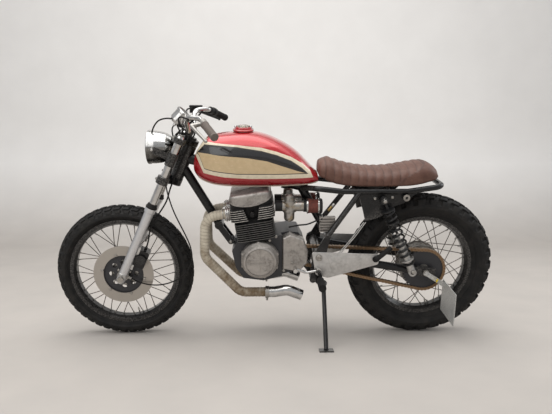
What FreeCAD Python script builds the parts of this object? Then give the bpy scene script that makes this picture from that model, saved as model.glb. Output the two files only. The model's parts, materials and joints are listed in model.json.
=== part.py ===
import FreeCAD, Part
import math
import os
import re
import Sketcher
from collections import namedtuple
from FreeCAD import Placement, Rotation, Vector

# A cafe racer motorcycle, in millimetres. Each piece is drawn on the upright machine, with x
# rearwards, y to its right, z up and zero on the ground halfway between the axles, and is then
# leaned onto its side stand. Lengths are in mm and angles in degrees.

SIZES = {
    # Stance
    "wheelbase": 1390,
    "lean_angle": 11.8,
    "origin_shift_x": -14,
    "origin_shift_y": 194,
    "fit_gap": 0.2,
    "seat_gap": 0.3,
    "overrun": 6,
    # Front wheel
    "front_tyre_radius": 319,
    "front_tyre_half_width": 45,
    "front_seat_radius": 241,
    "rim_half_width": 31,
    "rim_flange": 13,
    "rim_flange_wall": 3,
    "rim_well_depth": 13,
    "rim_well_half_width": 15,
    "front_hub_half": 44,
    "front_hub_end_radius": 22,
    "front_hub_barrel_radius": 26,
    "front_flange_radius": 62,
    "front_flange_reach": 30,
    "flange_wall": 6,
    "spoke_radius": 1.9,
    "spoke_inset": 6,
    "spoke_rim_reach": 6,
    "spokes_per_side": 18,
    "spoke_lead_angle": 62,
    "disc_radius": 138,
    "disc_ring_width": 46,
    "disc_wall": 5,
    "disc_reach": 57,
    "carrier_wall": 6,
    "carrier_lip": 9,
    "carrier_hole_radius": 12,
    "carrier_hole_count": 8,
    # Rear wheel
    "rear_tyre_radius": 346,
    "rear_tyre_half_width": 59,
    "rear_seat_radius": 228.6,
    "rear_rim_half_width": 37,
    "rear_hub_end_radius": 26,
    "rear_drum_radius": 92,
    "rear_drum_reach": 46,
    "rear_flange_radius": 102,
    "rear_flange_reach": 34,
    "drum_rib_rise": 4,
    "drum_rib_half_wall": 2,
    "drum_rib_count": 5,
    "sprocket_wall": 7,
    "sprocket_carrier_radius": 58,
    "sprocket_teeth": 38,
    "front_sprocket_teeth": 16,
    "chain_pitch": 15.875,
    "chain_half_width": 9,
    "chain_plate_half_height": 7.5,
    "chain_plate_waist": 5.4,
    "chain_roller_half_height": 3.8,
    "chain_reach": 82,
    "front_sprocket_x": 110,
    "front_sprocket_height": 425,
    # Axles
    "front_axle_radius": 7.5,
    "rear_axle_radius": 9,
    "axle_nut_radius": 14,
    "axle_nut_length": 14,
    "axle_spacer_radius": 15,
    "brake_plate_boss_share": 1.6,
    "brake_plate_wall": 10,
    # Fork and steering
    "rake_angle": 24.5,
    "fork_offset": 45,
    "fork_half_spread": 95,
    "slider_radius": 21,
    "slider_toe_radius": 16.8,
    "slider_lip_step": 3,
    "slider_lip_radius": 24.5,
    "slider_lip_height": 24,
    "slider_foot": 26,
    "slider_length": 362,
    "slider_bore_depth": 272,
    "stanchion_radius": 16.5,
    "stanchion_length": 612,
    "stanchion_cap": 8,
    "lower_yoke_height": 482,
    "lower_yoke_wall": 32,
    "upper_yoke_height": 678,
    "upper_yoke_wall": 24,
    "yoke_clamp_radius": 27,
    "yoke_arm_half_depth": 20,
    "yoke_web_share": 0.7,
    "yoke_web_rear": 4,
    "stem_radius": 14,
    "stem_nut_radius": 17,
    "stem_nut_height": 9,
    "stem_boss_radius": 31,
    "bearing_height": 10,
    "riser_half_spread": 48,
    "riser_radius": 13,
    "riser_height": 34,
    "bar_clamp_radius": 19,
    "bar_clamp_length": 32,
    "bar_radius": 11.1,
    "bar_bend_radius": 45,
    "bar_centre_half": 88,
    "bar_rise": 75,
    "bar_bend_reach": 165,
    "bar_bend_back": 0,
    "bar_grip_start": 200,
    "bar_grip_start_back": 60,
    "bar_half_width": 350,
    "bar_end_back": 130,
    "bar_end_drop": 20,
    "grip_radius": 17,
    "grip_length": 114,
    "perch_radius": 17,
    "perch_length": 28,
    "switch_length": 20,
    "switch_radius": 20,
    "lever_radius": 5,
    "lever_arm_radius": 9,
    "lever_root_radius": 8,
    "lever_ball_radius": 7,
    "lever_reach": 52,
    "lever_tip_share": 0.2,
    "reservoir_ahead": 44,
    "reservoir_length": 58,
    "reservoir_width": 40,
    "reservoir_height": 34,
    "reservoir_corner": 7,
    "reservoir_lid_wall": 6,
    "reservoir_lid_lip": 2,
    "headlamp_radius": 73,
    "headlamp_depth": 118,
    "headlamp_height": 905,
    "headlamp_front_x": -562,
    "headlamp_rim_radius": 76,
    "headlamp_rim_depth": 12,
    "reflector_depth": 58,
    "reflector_neck_radius": 18,
    "bulb_radius": 9,
    "bulb_length": 26,
    "lens_wall": 5,
    "lens_inset": 6,
    "lens_rise": 9,
    "lens_shoulder_share": 0.75,
    "ear_wall": 5,
    "ear_height": 60,
    "ear_lamp_share": 0.25,
    "ear_reach_share": 0.75,
    "speedo_radius": 40,
    "speedo_depth": 62,
    "speedo_height": 742,
    "speedo_back": 20,
    "speedo_side": -48,
    "speedo_tilt": 20,
    "speedo_post_radius": 6,
    "speedo_post_ahead": 9,
    "speedo_post_share": 0.6,
    "caliper_length": 84,
    "caliper_height": 52,
    "caliper_width": 58,
    "caliper_offset": 8,
    "caliper_corner": 9,
    "caliper_union_reach": 65,
    "piston_housing_radius": 23,
    "piston_housing_reach": 12,
    # Frame
    "head_tube_radius": 30,
    "head_tube_bore": 21,
    "head_tube_start": 517,
    "head_tube_end": 675,
    "backbone_radius": 24,
    "backbone_front_share": 0.6,
    "backbone_rear_x": 150,
    "backbone_rear_height": 722,
    "collar_front_share": 0.22,
    "collar_rear_share": 0.8,
    "collar_length": 24,
    "downtube_radius": 20,
    "downtube_start_share": 0.38,
    "downtube_foot_x": -252,
    "downtube_foot_height": 548,
    "engine_tab_wall": 8,
    "engine_lug_radius": 14,
    "engine_lug_half_width": 24,
    "front_lug_x": -198,
    "front_lug_height": 470,
    "rear_lug_x": 144,
    "rear_lug_height": 366,
    "rail_radius": 12.5,
    "rail_half_spread": 113,
    "rail_start_x": 190,
    "rail_low_x": 300,
    "rail_height": 727,
    "rail_kick_x": 590,
    "hoop_x": 762,
    "hoop_rise": 21,
    "hoop_spread_share": 0.92,
    "hoop_bend_share": 0.6,
    "rail_bend_radius": 70,
    "rear_tube_top_x": 380,
    "pivot_x": 200,
    "pivot_height": 430,
    "pivot_plate_reach": 134,
    "pivot_plate_wall": 8,
    "pivot_plate_radius": 30,
    "pivot_plate_disc_share": 1.2,
    "pivot_bolt_radius": 8,
    "upper_cross_x": 238,
    "upper_cross_height": 528,
    "lower_cross_x": 176,
    "lower_cross_height": 322,
    "cross_radius": 12.5,
    "gusset_wall": 6,
    "gusset_front_x": 368,
    "gusset_length": 262,
    "gusset_depth": 136,
    "shock_top_x": 480,
    "shock_top_drop": 33,
    "shock_stud_radius": 8,
    "shock_stud_reach": 160,
    "shock_lug_radius": 15,
    "rack_boss_x": 581,
    "rack_boss_drop": 24,
    "rack_boss_radius": 13,
    "rack_boss_inner": 100,
    "rack_boss_length": 34,
    "rack_bore_radius": 4.25,
    "buffer_radius": 11,
    "buffer_front_x": 345,
    "buffer_rear_x": 500,
    # Swingarm and shocks
    "swingarm_half_spread": 112,
    "swingarm_radius": 18,
    "swingarm_pivot_radius": 20,
    "swingarm_end_length": 92,
    "swingarm_end_height": 44,
    "swingarm_end_wall": 14,
    "shock_foot_x": 626,
    "shock_reach": 146,
    "shock_eye_radius": 17,
    "shock_eye_half_width": 12,
    "damper_radius": 17,
    "damper_length": 150,
    "damper_rod_radius": 6,
    "spring_radius": 24,
    "spring_wire_radius": 4.5,
    "spring_turns": 9,
    "spring_collar_radius": 30,
    "spring_collar_wall": 6,
    "spring_foot": 70,
    "spring_head": 52,
    # Tank and seat
    "tank_front_x": -365,
    "tank_length": 560,
    "tank_base": 737,
    "tank_height": 241,
    "tank_half_width": 126,
    "tunnel_gap": 8,
    "tunnel_length_share": 1.4,
    "steering_clear_radius": 72,
    "cap_x": -137,
    "cap_radius": 47,
    "cap_height": 26,
    "cap_base": 979,
    "cap_neck_share": 0.85,
    "seat_tank_gap": 8,
    "seat_length": 537,
    "seat_rise": 14,
    "seat_height": 126,
    "seat_half_width": 122,
    # Engine
    "crank_x": -64,
    "crank_height": 419,
    "crankcase_half_width": 105,
    "crankcase_top_share": 0.8,
    "gearbox_left_reach": 64,
    "cylinder_tilt": 9,
    "cylinder_base": 88,
    "cylinder_core_half_length": 70,
    "cylinder_core_half_width": 128,
    "cylinder_fin_half_length": 86,
    "cylinder_length": 94,
    "fin_half_length": 98,
    "fin_half_width": 150,
    "fin_wall": 3,
    "fin_corner": 26,
    "fin_pitch": 9.6,
    "fin_first_gap": 7,
    "cylinder_fin_count": 9,
    "head_length": 62,
    "head_fin_count": 6,
    "head_core_half_width": 120,
    "plug_pocket_half_length": 36,
    "plug_pocket_foot_half_length": 20,
    "plug_pocket_depth": 54,
    "plug_radius": 7,
    "plug_reach": 36,
    "head_cover_height": 58,
    "head_cover_half_length": 92,
    "head_cover_half_width": 118,
    "head_cover_corner": 30,
    "head_cover_saddle_radius": 195,
    "head_cover_flange_wall": 7,
    "head_cover_flange_lip": 4,
    "head_cover_rib_wall": 4,
    "head_cover_rib_pitch": 11,
    "head_cover_rib_rise": 3,
    "head_cover_rib_count": 3,
    "alternator_radius": 84,
    "alternator_face_radius": 64,
    "alternator_reach": 178,
    "alternator_edge_depth": 28,
    "alternator_crown_radius": 72,
    "alternator_crown_depth": 4,
    "alternator_groove_width": 3,
    "alternator_groove_depth": 7,
    "alternator_face_depth": 5,
    "alternator_rib_rise": 2.5,
    "alternator_rib_wall": 3,
    "alternator_rib_offset": 8,
    "clutch_reach": 165,
    "clutch_x": 15,
    "clutch_height": 420,
    "clutch_radius": 98,
    "clutch_edge_depth": 22,
    "clutch_edge_width": 12,
    "clutch_crown_depth": 8,
    "clutch_step_depth": 4,
    "clutch_ring_share": 0.72,
    "clutch_lid_share": 0.7,
    "sprocket_cover_reach": 96,
    "sprocket_cover_wall": 26,
    "sprocket_cover_skin": 5,
    "sprocket_cover_hollow": 42,
    "sprocket_cover_way": 112,
    "sprocket_cover_bevel": 4,
    "carb_half_spread": 62,
    "carb_height": 648,
    "carb_front_x": 4.8,
    "carb_length": 128,
    "carb_radius": 24,
    "carb_body_radius": 27,
    "carb_flange_radius": 31,
    "carb_flange_wall": 5,
    "carb_flange_rise": 20,
    "carb_cap_radius": 24,
    "carb_cap_height": 58,
    "carb_bowl_radius": 24,
    "carb_bowl_depth": 66,
    "carb_drain_radius": 6,
    "carb_drain_length": 8,
    "carb_bowl_share": 0.85,
    "carb_cap_share": 0.9,
    "filter_neck_length": 14,
    "filter_neck_radius": 27,
    "filter_ring_radius": 35,
    "filter_ring_wall": 5,
    "filter_length": 84,
    "filter_radius": 33,
    "filter_tip_radius": 31,
    "filter_cap_wall": 14,
    "exhaust_radius": 22,
    "exhaust_port_reach": 62,
    "port_boss_length": 8,
    "exhaust_low_reach": 112,
    "exhaust_forward": 112,
    "exhaust_knee_height": 420,
    "exhaust_knee_share": 0.9,
    "exhaust_low_run": 130,
    "exhaust_bend_radius": 64,
    "exhaust_joint_x": -22,
    "exhaust_collar_radius": 34,
    "exhaust_collar_wall": 5,
    "exhaust_collar_pitch": 9,
    "exhaust_collar_count": 2,
    "exhaust_stud_radius": 4,
    "exhaust_stud_length": 26,
    "exhaust_stud_offset": 27.75,
    "exhaust_clamp_radius": 27,
    "exhaust_clamp_length": 18,
    "exhaust_clamp_lug": 14,
    "exhaust_joint_height": 252,
    "tip_radius": 25,
    "tip_bend_radius": 60,
    "tip_bend_x": 62,
    "tip_bend_height": 262,
    "tip_end_x": 128,
    "tip_end_height": 236,
    "tip_wall": 2.5,
    "tip_bore_depth": 62,
    "port_wall": 6,
    "intake_wall": 4,
    "intake_boss_reach": 2,
    "regulator_side": 88,
    "regulator_wall": 16,
    "regulator_length": 70,
    "regulator_tall": 68,
    "regulator_fin_reach": 12,
    "regulator_fin_wall": 4,
    "regulator_fin_count": 6,
    # Controls and stand
    "peg_plate_wall": 6,
    "peg_plate_length": 269.8,
    "peg_x": 206,
    "peg_height": 333,
    "peg_radius": 17,
    "peg_start": 175,
    "peg_end": 268,
    "peg_stem_radius": 8.5,
    "passenger_peg_radius": 11,
    "passenger_peg_x": 455,
    "passenger_peg_height": 424,
    "passenger_peg_tip_x": 521,
    "passenger_peg_tip_height": 482,
    "passenger_peg_eye_radius": 14,
    "passenger_peg_eye_wall": 8,
    "foot_lever_radius": 6,
    "foot_lever_boss_radius": 12,
    "foot_lever_boss_length": 30,
    "foot_lever_bend": 40,
    "foot_lever_x": 196,
    "foot_lever_height": 378,
    "foot_lever_elbow_x": 142,
    "foot_lever_drop": 10,
    "foot_lever_toe_x": 92,
    "foot_lever_toe_rise": 10,
    "foot_lever_toe_length": 44,
    "foot_lever_overlap": 9,
    "foot_lever_toe_radius": 9,
    "number_plate_width": 180,
    "number_plate_height": 150,
    "number_plate_wall": 3,
    "number_plate_x": 782,
    "number_plate_centre_height": 236,
    "number_plate_reach": 205,
    "plate_arm_length": 118,
    "plate_arm_wall": 6,
    "plate_arm_height": 20,
    "stand_pivot_x": 226,
    "stand_pivot_height": 296,
    "stand_pivot_reach": 128,
    "stand_foot_x": 222,
    "stand_foot_reach": 332,
    "stand_radius": 10,
    "stand_pivot_radius": 15,
    "stand_eye_width": 22,
    "stand_lug_wall": 8,
    "stand_bolt_radius": 6,
    "stand_bolt_head_radius": 9.6,
    "stand_bolt_head": 5,
    "stand_fold_out_share": 0.06,
    "stand_fold_up_share": -0.1,
    "stand_foot_length": 62,
    "stand_foot_width": 40,
    "stand_foot_wall": 6,
    # Cords and their ends
    "brake_hose_radius": 3.5,
    "speedo_cable_radius": 3,
    "union_radius": 6.5,
    "union_length": 14,
    "speedo_drive_radius": 26,
    "speedo_drive_width": 15,
    "cord_bend_share": 0.45,
}

DOC = FreeCAD.newDocument("cafe_racer")
SHEET = DOC.addObject("Spreadsheet::Sheet", "Sizes")
WORD = re.compile(r"[a-z_]+")


def fill_sheet():
    """Writes every driving dimension into the sheet, with its name as alias."""
    for row, (name, number) in enumerate(SIZES.items(), start=1):
        SHEET.set(f"A{row}", name)
        SHEET.set(f"B{row}", str(number))
        SHEET.setAlias(f"B{row}", name)
    DOC.recompute()


def size(formula):
    """The number that a formula of the sheet's names gives."""
    return float(SHEET.evalExpression(formula))


def bound(formula):
    """The same formula as another object has to write it."""
    return WORD.sub(lambda word: f"Sizes.{word.group()}" if word.group() in SIZES else word.group(), formula)


fill_sheet()


# Frames of reference

def front_axle_height():
    crown = size("front_tyre_half_width")
    return size("front_tyre_radius") + crown * (1 / math.cos(math.radians(size("lean_angle"))) - 1)


def rear_axle_height():
    crown = size("rear_tyre_half_width")
    return size("rear_tyre_radius") + crown * (1 / math.cos(math.radians(size("lean_angle"))) - 1)


LEANED = Placement(
    Vector(size("origin_shift_x"), size("origin_shift_y"), 0),
    Rotation(Vector(1, 0, 0), size("lean_angle")),
)
FRONT_WHEEL = Placement(Vector(size("-wheelbase / 2"), 0, front_axle_height()), Rotation())
REAR_WHEEL = Placement(Vector(size("wheelbase / 2"), 0, rear_axle_height()), Rotation())
FORK = Placement(FRONT_WHEEL.Base, Rotation(Vector(0, 1, 0), size("rake_angle")))
CYLINDERS = Placement(
    Vector(size("crank_x"), 0, size("crank_height")),
    Rotation(Vector(0, 1, 0), size("-cylinder_tilt")),
)
UPRIGHT = Placement()


# Helpers

def name_piece(piece, label, local=UPRIGHT):
    """Gives a finished sub-part its name and leans it with the machine."""
    piece.Label = label
    piece.Placement = LEANED.multiply(local).multiply(piece.Placement)
    PIECES.append(piece)
    return piece


PIECES = []


def bind(thing, **formulas):
    for property_name, formula in formulas.items():
        thing.setExpression(property_name, bound(formula))
    return thing


def closed_sketch(body, plane, corners):
    """A closed outline whose corners are pairs of formulas, each held by the sheet."""
    sketch = body.newObject("Sketcher::SketchObject", body.Name + "_outline")
    origin_plane = [part for part in body.Origin.OriginFeatures if part.Role == plane][0]
    sketch.AttachmentSupport = (origin_plane, [""])
    sketch.MapMode = "FlatFace"
    points = [Vector(size(across), size(up), 0) for across, up in corners]
    for index, point in enumerate(points):
        sketch.addGeometry(Part.LineSegment(point, points[(index + 1) % len(points)]))
    for index, (across, up) in enumerate(corners):
        sketch.addConstraint(Sketcher.Constraint("Coincident", index, 2, (index + 1) % len(points), 1))
        hold_corner(sketch, index, "DistanceX", "across", across, -2)
        hold_corner(sketch, index, "DistanceY", "up", up, -1)
    return sketch


def hold_corner(sketch, index, kind, name, formula, axis):
    if formula == "0":
        sketch.addConstraint(Sketcher.Constraint("PointOnObject", index, 1, axis))
        return
    held = sketch.addConstraint(Sketcher.Constraint(kind, -1, 1, index, 1, size(formula)))
    sketch.renameConstraint(held, f"{name}_{index}")
    sketch.setExpression(f"Constraints.{name}_{index}", bound(formula))


def lathe(name, corners, plane="XY_Plane"):
    """Turns an outline of (radius, along) pairs round the sketch's upright axis."""
    body = DOC.addObject("PartDesign::Body", name)
    sketch = closed_sketch(body, plane, corners)
    turned = body.newObject("PartDesign::Revolution", name + "_turned")
    turned.Profile = sketch
    turned.ReferenceAxis = (sketch, ["V_Axis"])
    turned.Angle = 360
    DOC.recompute()
    return body


def slab(name, plane, corners, wall):
    """A plate of the given wall, centred on its own plane."""
    body = DOC.addObject("PartDesign::Body", name)
    sketch = closed_sketch(body, plane, corners)
    pad = body.newObject("PartDesign::Pad", name + "_pad")
    pad.Profile = sketch
    pad.Midplane = True
    bind(pad, Length=wall)
    DOC.recompute()
    return body


def cylinder(name, radius, length, base, direction=Vector(0, 0, 1)):
    rod = DOC.addObject("Part::Cylinder", name)
    bind(rod, Radius=radius, Height=length)
    rod.Placement = Placement(base, Rotation(Vector(0, 0, 1), direction))
    return rod


def box(name, length, width, height, centre, rotation=Rotation()):
    block = DOC.addObject("Part::Box", name)
    bind(block, Length=length, Width=width, Height=height)
    half = Vector(size(length) / 2, size(width) / 2, size(height) / 2)
    block.Placement = Placement(centre - rotation.multVec(half), rotation)
    return block


def fused(name, pieces):
    whole = DOC.addObject("Part::MultiFuse", name)
    whole.Shapes = pieces
    DOC.recompute()
    return whole


def cut(name, base, tool):
    rest = DOC.addObject("Part::Cut", name)
    rest.Base = base
    rest.Tool = tool
    DOC.recompute()
    return rest


def mirrored(name, piece):
    """The piece's twin on the machine's other side."""
    twin = DOC.addObject("Part::Mirroring", name)
    twin.Source = piece
    twin.Normal = (0, 1, 0)
    DOC.recompute()
    return twin


def group(name, pieces):
    together = DOC.addObject("Part::Compound", name)
    together.Links = pieces
    DOC.recompute()
    return together


def pair(name, piece):
    return group(name, [piece, mirrored(name + "_twin", piece)])


def shape_piece(name, shape):
    piece = DOC.addObject("Part::Feature", name)
    piece.Shape = shape
    return piece


def rounded_path(corners, bend):
    """Straight runs between the corners, joined by tangent arcs of one radius."""
    edges = []
    start = corners[0]
    for before, corner, after in zip(corners, corners[1:], corners[2:]):
        inward = (before - corner).normalize()
        outward = (after - corner).normalize()
        turn = math.pi - inward.getAngle(outward)
        reach = bend * math.tan(turn / 2)
        entry = corner + inward * reach
        leave = corner + outward * reach
        bisector = (inward + outward).normalize()
        middle = corner + bisector * (bend / math.cos(turn / 2) - bend)
        edges.append(Part.LineSegment(start, entry).toShape())
        edges.append(Part.Arc(entry, middle, leave).toShape())
        start = leave
    edges.append(Part.LineSegment(start, corners[-1]).toShape())
    return Part.Wire(edges)


def tube(corners, radius, bend):
    """A solid round bar along the rounded path."""
    path = rounded_path(corners, bend)
    ring = Part.Wire(Part.makeCircle(radius, corners[0], corners[1] - corners[0]))
    return path.makePipeShell([ring], True, True)


def side(point, sign):
    return Vector(point.x, sign * point.y, point.z)


def oval_section(x, low, high, half_width, form):
    """A closed smooth curve across the machine, rounder or squarer by its two powers."""
    belt = low + (high - low) * form.belt_share
    points = []
    for step in range(form.steps):
        angle = math.pi * (2 * step + 1) / form.steps
        up = math.sin(angle)
        power = form.upper_power if up > 0 else form.lower_power
        reach = high - belt if up > 0 else belt - low
        across = math.copysign(abs(math.cos(angle)) ** (2 / power), math.cos(angle))
        points.append(Vector(x, half_width * across,
                             belt + reach * math.copysign(abs(up) ** (2 / power), up)))
    curve = Part.BSplineCurve()
    curve.interpolate(points, True)
    return Part.Wire(curve.toShape())


def lofted(front, length, base, height, half_width, shares, form):
    """A smooth body through sections given as shares of its own length, height and width."""
    wires = []
    for along, low, high, wide in shares:
        wires.append(oval_section(
            front + along * length, base + low * height, base + high * height, wide * half_width, form,
        ))
    return Part.makeLoft(wires, True)


# Wheels

def tyre(label, seat, radius, half_width, rim_half, wheel):
    """A crown and sidewalls of one round section on straight beads."""
    tyre_radius = size(radius)
    crown = size(half_width)
    bead_low = size(f"{seat} + seat_gap")
    bead_high = size(f"{seat} + rim_flange + seat_gap")
    bead_half = size(f"{rim_half} - rim_flange_wall - seat_gap")
    centre = tyre_radius - crown
    shoulder = Vector(centre, crown, 0)
    corners = [Vector(bead_low, -bead_half, 0), Vector(bead_high, -bead_half, 0), side(shoulder, -1)]
    edges = [
        Part.LineSegment(corners[0], corners[1]).toShape(),
        Part.LineSegment(corners[1], corners[2]).toShape(),
        Part.Arc(corners[2], Vector(tyre_radius, 0, 0), shoulder).toShape(),
        Part.LineSegment(shoulder, Vector(bead_high, bead_half, 0)).toShape(),
        Part.LineSegment(Vector(bead_high, bead_half, 0), Vector(bead_low, bead_half, 0)).toShape(),
        Part.LineSegment(Vector(bead_low, bead_half, 0), corners[0]).toShape(),
    ]
    section = Part.Face(Part.Wire(edges))
    return name_piece(shape_piece(label, section.revolve(Vector(), Vector(0, 1, 0), 360)), label, wheel)


def rim(label, seat, half_width, wheel):
    """A drop-centre rim with a flange at each side."""
    well = f"{seat} - rim_well_depth"
    body = lathe(label, [
        (well, "-rim_well_half_width"),
        (f"{seat} - rim_flange_wall", f"-{half_width}"),
        (f"{seat} + rim_flange", f"-{half_width}"),
        (f"{seat} + rim_flange", f"-({half_width} - rim_flange_wall)"),
        (seat, f"-({half_width} - rim_flange_wall)"),
        (seat, f"{half_width} - rim_flange_wall"),
        (f"{seat} + rim_flange", f"{half_width} - rim_flange_wall"),
        (f"{seat} + rim_flange", half_width),
        (f"{seat} - rim_flange_wall", half_width),
        (well, "rim_well_half_width"),
    ])
    return name_piece(body, label, wheel)


def spokes(flange_radius, flange_reach, seat):
    """Crossed spokes from both faces of each hub flange to the middle of the rim."""
    inner = size(f"{flange_radius} - spoke_inset")
    outer = size(f"{seat} - rim_well_depth")
    reach = Part.makeCylinder(outer - size("seat_gap"), outer, Vector(0, -outer / 2, 0), Vector(0, 1, 0))
    count = int(size("spokes_per_side"))
    wire = size("spoke_radius")
    rods = []
    for flange_side in (-1, 1):
        for index in range(count):
            lead = 1 if index % 2 else -1
            across = flange_side * (size(flange_reach) + lead * (size("flange_wall") / 2))
            hub_angle = math.radians(360 * (index + flange_side / 4) / count)
            rim_angle = hub_angle + lead * math.radians(size("spoke_lead_angle"))
            rim_across = flange_side * size("spoke_rim_reach")
            start = Vector(inner * math.cos(hub_angle), across, inner * math.sin(hub_angle))
            end = Vector(outer * math.cos(rim_angle), rim_across, outer * math.sin(rim_angle))
            rods.append(Part.makeCylinder(wire, (end - start).Length + wire,
                                          start, end - start).common(reach))
    return rods


def front_hub():
    hub = lathe("front_hub_barrel", [
        ("front_axle_radius + seat_gap", "-front_hub_half"),
        ("front_hub_end_radius", "-front_hub_half"),
        ("front_hub_barrel_radius", "-(front_flange_reach + flange_wall / 2)"),
        ("front_flange_radius", "-(front_flange_reach + flange_wall / 2)"),
        ("front_flange_radius", "-(front_flange_reach - flange_wall / 2)"),
        ("front_hub_barrel_radius", "-(front_flange_reach - flange_wall / 2 - flange_wall)"),
        ("front_hub_barrel_radius", "front_flange_reach - flange_wall / 2 - flange_wall"),
        ("front_flange_radius", "front_flange_reach - flange_wall / 2"),
        ("front_flange_radius", "front_flange_reach + flange_wall / 2"),
        ("front_hub_barrel_radius", "front_flange_reach + flange_wall / 2"),
        ("front_hub_end_radius", "front_hub_half"),
        ("front_axle_radius + seat_gap", "front_hub_half"),
    ])
    rods = spokes("front_flange_radius", "front_flange_reach", "front_seat_radius")
    laced = shape_piece("front_hub_laced", hub.Shape.multiFuse(rods))
    name_piece(laced, "front_hub", FRONT_WHEEL)


def drum_ribs():
    """The corners of the cooling ribs round the drum, evenly spaced between the spoke flanges."""
    corners = []
    pitch = "(2 * rear_flange_reach - flange_wall) / (drum_rib_count + 1)"
    for number in range(1, int(size("drum_rib_count")) + 1):
        middle = f"-(rear_flange_reach - flange_wall / 2) + {number} * {pitch}"
        corners.append(("rear_drum_radius", f"{middle} - drum_rib_half_wall"))
        corners.append(("rear_drum_radius + drum_rib_rise", f"{middle} - drum_rib_half_wall"))
        corners.append(("rear_drum_radius + drum_rib_rise", f"{middle} + drum_rib_half_wall"))
        corners.append(("rear_drum_radius", f"{middle} + drum_rib_half_wall"))
    return corners


def rear_hub():
    sprocket_seat = "-(chain_reach - sprocket_wall / 2 - seat_gap)"
    left_end = "-(chain_reach + sprocket_wall)"
    hub = lathe("rear_hub_barrel", [
        ("rear_axle_radius + seat_gap", left_end),
        ("rear_hub_end_radius", left_end),
        ("rear_hub_end_radius", sprocket_seat),
        ("sprocket_carrier_radius", sprocket_seat),
        ("sprocket_carrier_radius", "-rear_drum_reach"),
        ("rear_drum_radius", "-rear_drum_reach"),
        ("rear_drum_radius", "-(rear_flange_reach + flange_wall / 2)"),
        ("rear_flange_radius", "-(rear_flange_reach + flange_wall / 2)"),
        ("rear_flange_radius", "-(rear_flange_reach - flange_wall / 2)"),
        ("rear_drum_radius", "-(rear_flange_reach - flange_wall / 2)"),
    ] + drum_ribs() + [
        ("rear_drum_radius", "rear_flange_reach - flange_wall / 2"),
        ("rear_flange_radius", "rear_flange_reach - flange_wall / 2"),
        ("rear_flange_radius", "rear_flange_reach + flange_wall / 2"),
        ("rear_drum_radius", "rear_flange_reach + flange_wall / 2"),
        ("rear_drum_radius", "rear_drum_reach"),
        ("rear_axle_radius + seat_gap", "rear_drum_reach"),
    ])
    rods = spokes("rear_flange_radius", "rear_flange_reach", "rear_seat_radius")
    laced = shape_piece("rear_hub_laced", hub.Shape.multiFuse(rods))
    name_piece(laced, "rear_hub", REAR_WHEEL)


def brake_disc():
    """The braking ring and the drilled carrier that bolts it to the hub's left end."""
    ring = lathe("disc_ring", [
        ("disc_radius - disc_ring_width", "-(disc_reach + disc_wall / 2)"),
        ("disc_radius", "-(disc_reach + disc_wall / 2)"),
        ("disc_radius", "-(disc_reach - disc_wall / 2)"),
        ("disc_radius - disc_ring_width", "-(disc_reach - disc_wall / 2)"),
    ])
    name_piece(ring, "front_disc", FRONT_WHEEL)
    inner_face = "-(disc_reach - disc_wall / 2 - seat_gap)"
    plate = lathe("carrier_plate", [
        ("front_axle_radius + seat_gap", "-(front_hub_half + seat_gap + carrier_wall)"),
        ("disc_radius - disc_ring_width - seat_gap", "-(front_hub_half + seat_gap + carrier_wall)"),
        ("disc_radius - disc_ring_width - seat_gap", inner_face),
        ("disc_radius - disc_ring_width + carrier_lip", inner_face),
        ("disc_radius - disc_ring_width + carrier_lip", "-(front_hub_half + seat_gap)"),
        ("front_axle_radius + seat_gap", "-(front_hub_half + seat_gap)"),
    ])
    holes = []
    ring_radius = size("(front_hub_end_radius + disc_radius - disc_ring_width) / 2")
    for index in range(int(size("carrier_hole_count"))):
        angle = 2 * math.pi * index / size("carrier_hole_count")
        base = Vector(ring_radius * math.cos(angle), size("-disc_radius"), ring_radius * math.sin(angle))
        holes.append(cylinder(f"carrier_hole_{index}", "carrier_hole_radius", "disc_radius",
                              base, Vector(0, 1, 0)))
    name_piece(cut("carrier_drilled", plate, fused("carrier_holes", holes)), "disc_carrier", FRONT_WHEEL)


# Places round one tooth as shares of its pitch, with heights above the pitch circle
TOOTH_SHARES = ((0.0, -0.31), (0.3, -0.31), (0.42, 0.12), (0.88, 0.12))


def sprocket_shape(teeth, bore, wall):
    """A toothed plate: each tooth is a wedge from the roots to just past the pitch circle."""
    pitch = size("chain_pitch")
    pitch_radius = pitch / (2 * math.sin(math.pi / teeth))
    points = []
    for index in range(teeth):
        for along, out in TOOTH_SHARES:
            radius = pitch_radius + out * pitch
            angle = 2 * math.pi * (index + along) / teeth
            points.append(Vector(radius * math.cos(angle), -wall / 2, radius * math.sin(angle)))
    points.append(points[0])
    plate = Part.Face(Part.makePolygon(points)).extrude(Vector(0, wall, 0))
    return plate.cut(Part.makeCylinder(bore, 2 * wall, Vector(0, -wall, 0), Vector(0, 1, 0)))


def rear_sprocket():
    wall = size("sprocket_wall")
    plate = sprocket_shape(int(size("sprocket_teeth")), size("rear_hub_end_radius + seat_gap"), wall)
    plate.translate(Vector(0, size("-chain_reach"), 0))
    name_piece(shape_piece("rear_sprocket_plate", plate), "rear_sprocket", REAR_WHEEL)


def chain_route(front, front_radius, rear, rear_radius):
    """The closed line of the chain: a tangent run above, one below, and two arcs."""
    span = rear - front
    base_angle = math.atan2(span.z, span.x)
    tilt = math.asin((rear_radius - front_radius) / span.Length)

    def on(centre, radius, angle):
        return centre + Vector(radius * math.cos(angle), 0, radius * math.sin(angle))

    upper = base_angle + math.pi / 2 + tilt
    lower = base_angle - math.pi / 2 - tilt
    return Part.Wire([
        Part.LineSegment(on(front, front_radius, upper), on(rear, rear_radius, upper)).toShape(),
        Part.Arc(on(rear, rear_radius, upper), on(rear, rear_radius, base_angle),
                 on(rear, rear_radius, lower)).toShape(),
        Part.LineSegment(on(rear, rear_radius, lower), on(front, front_radius, lower)).toShape(),
        Part.Arc(on(front, front_radius, lower), on(front, front_radius, base_angle + math.pi),
                 on(front, front_radius, upper)).toShape(),
    ])


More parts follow.
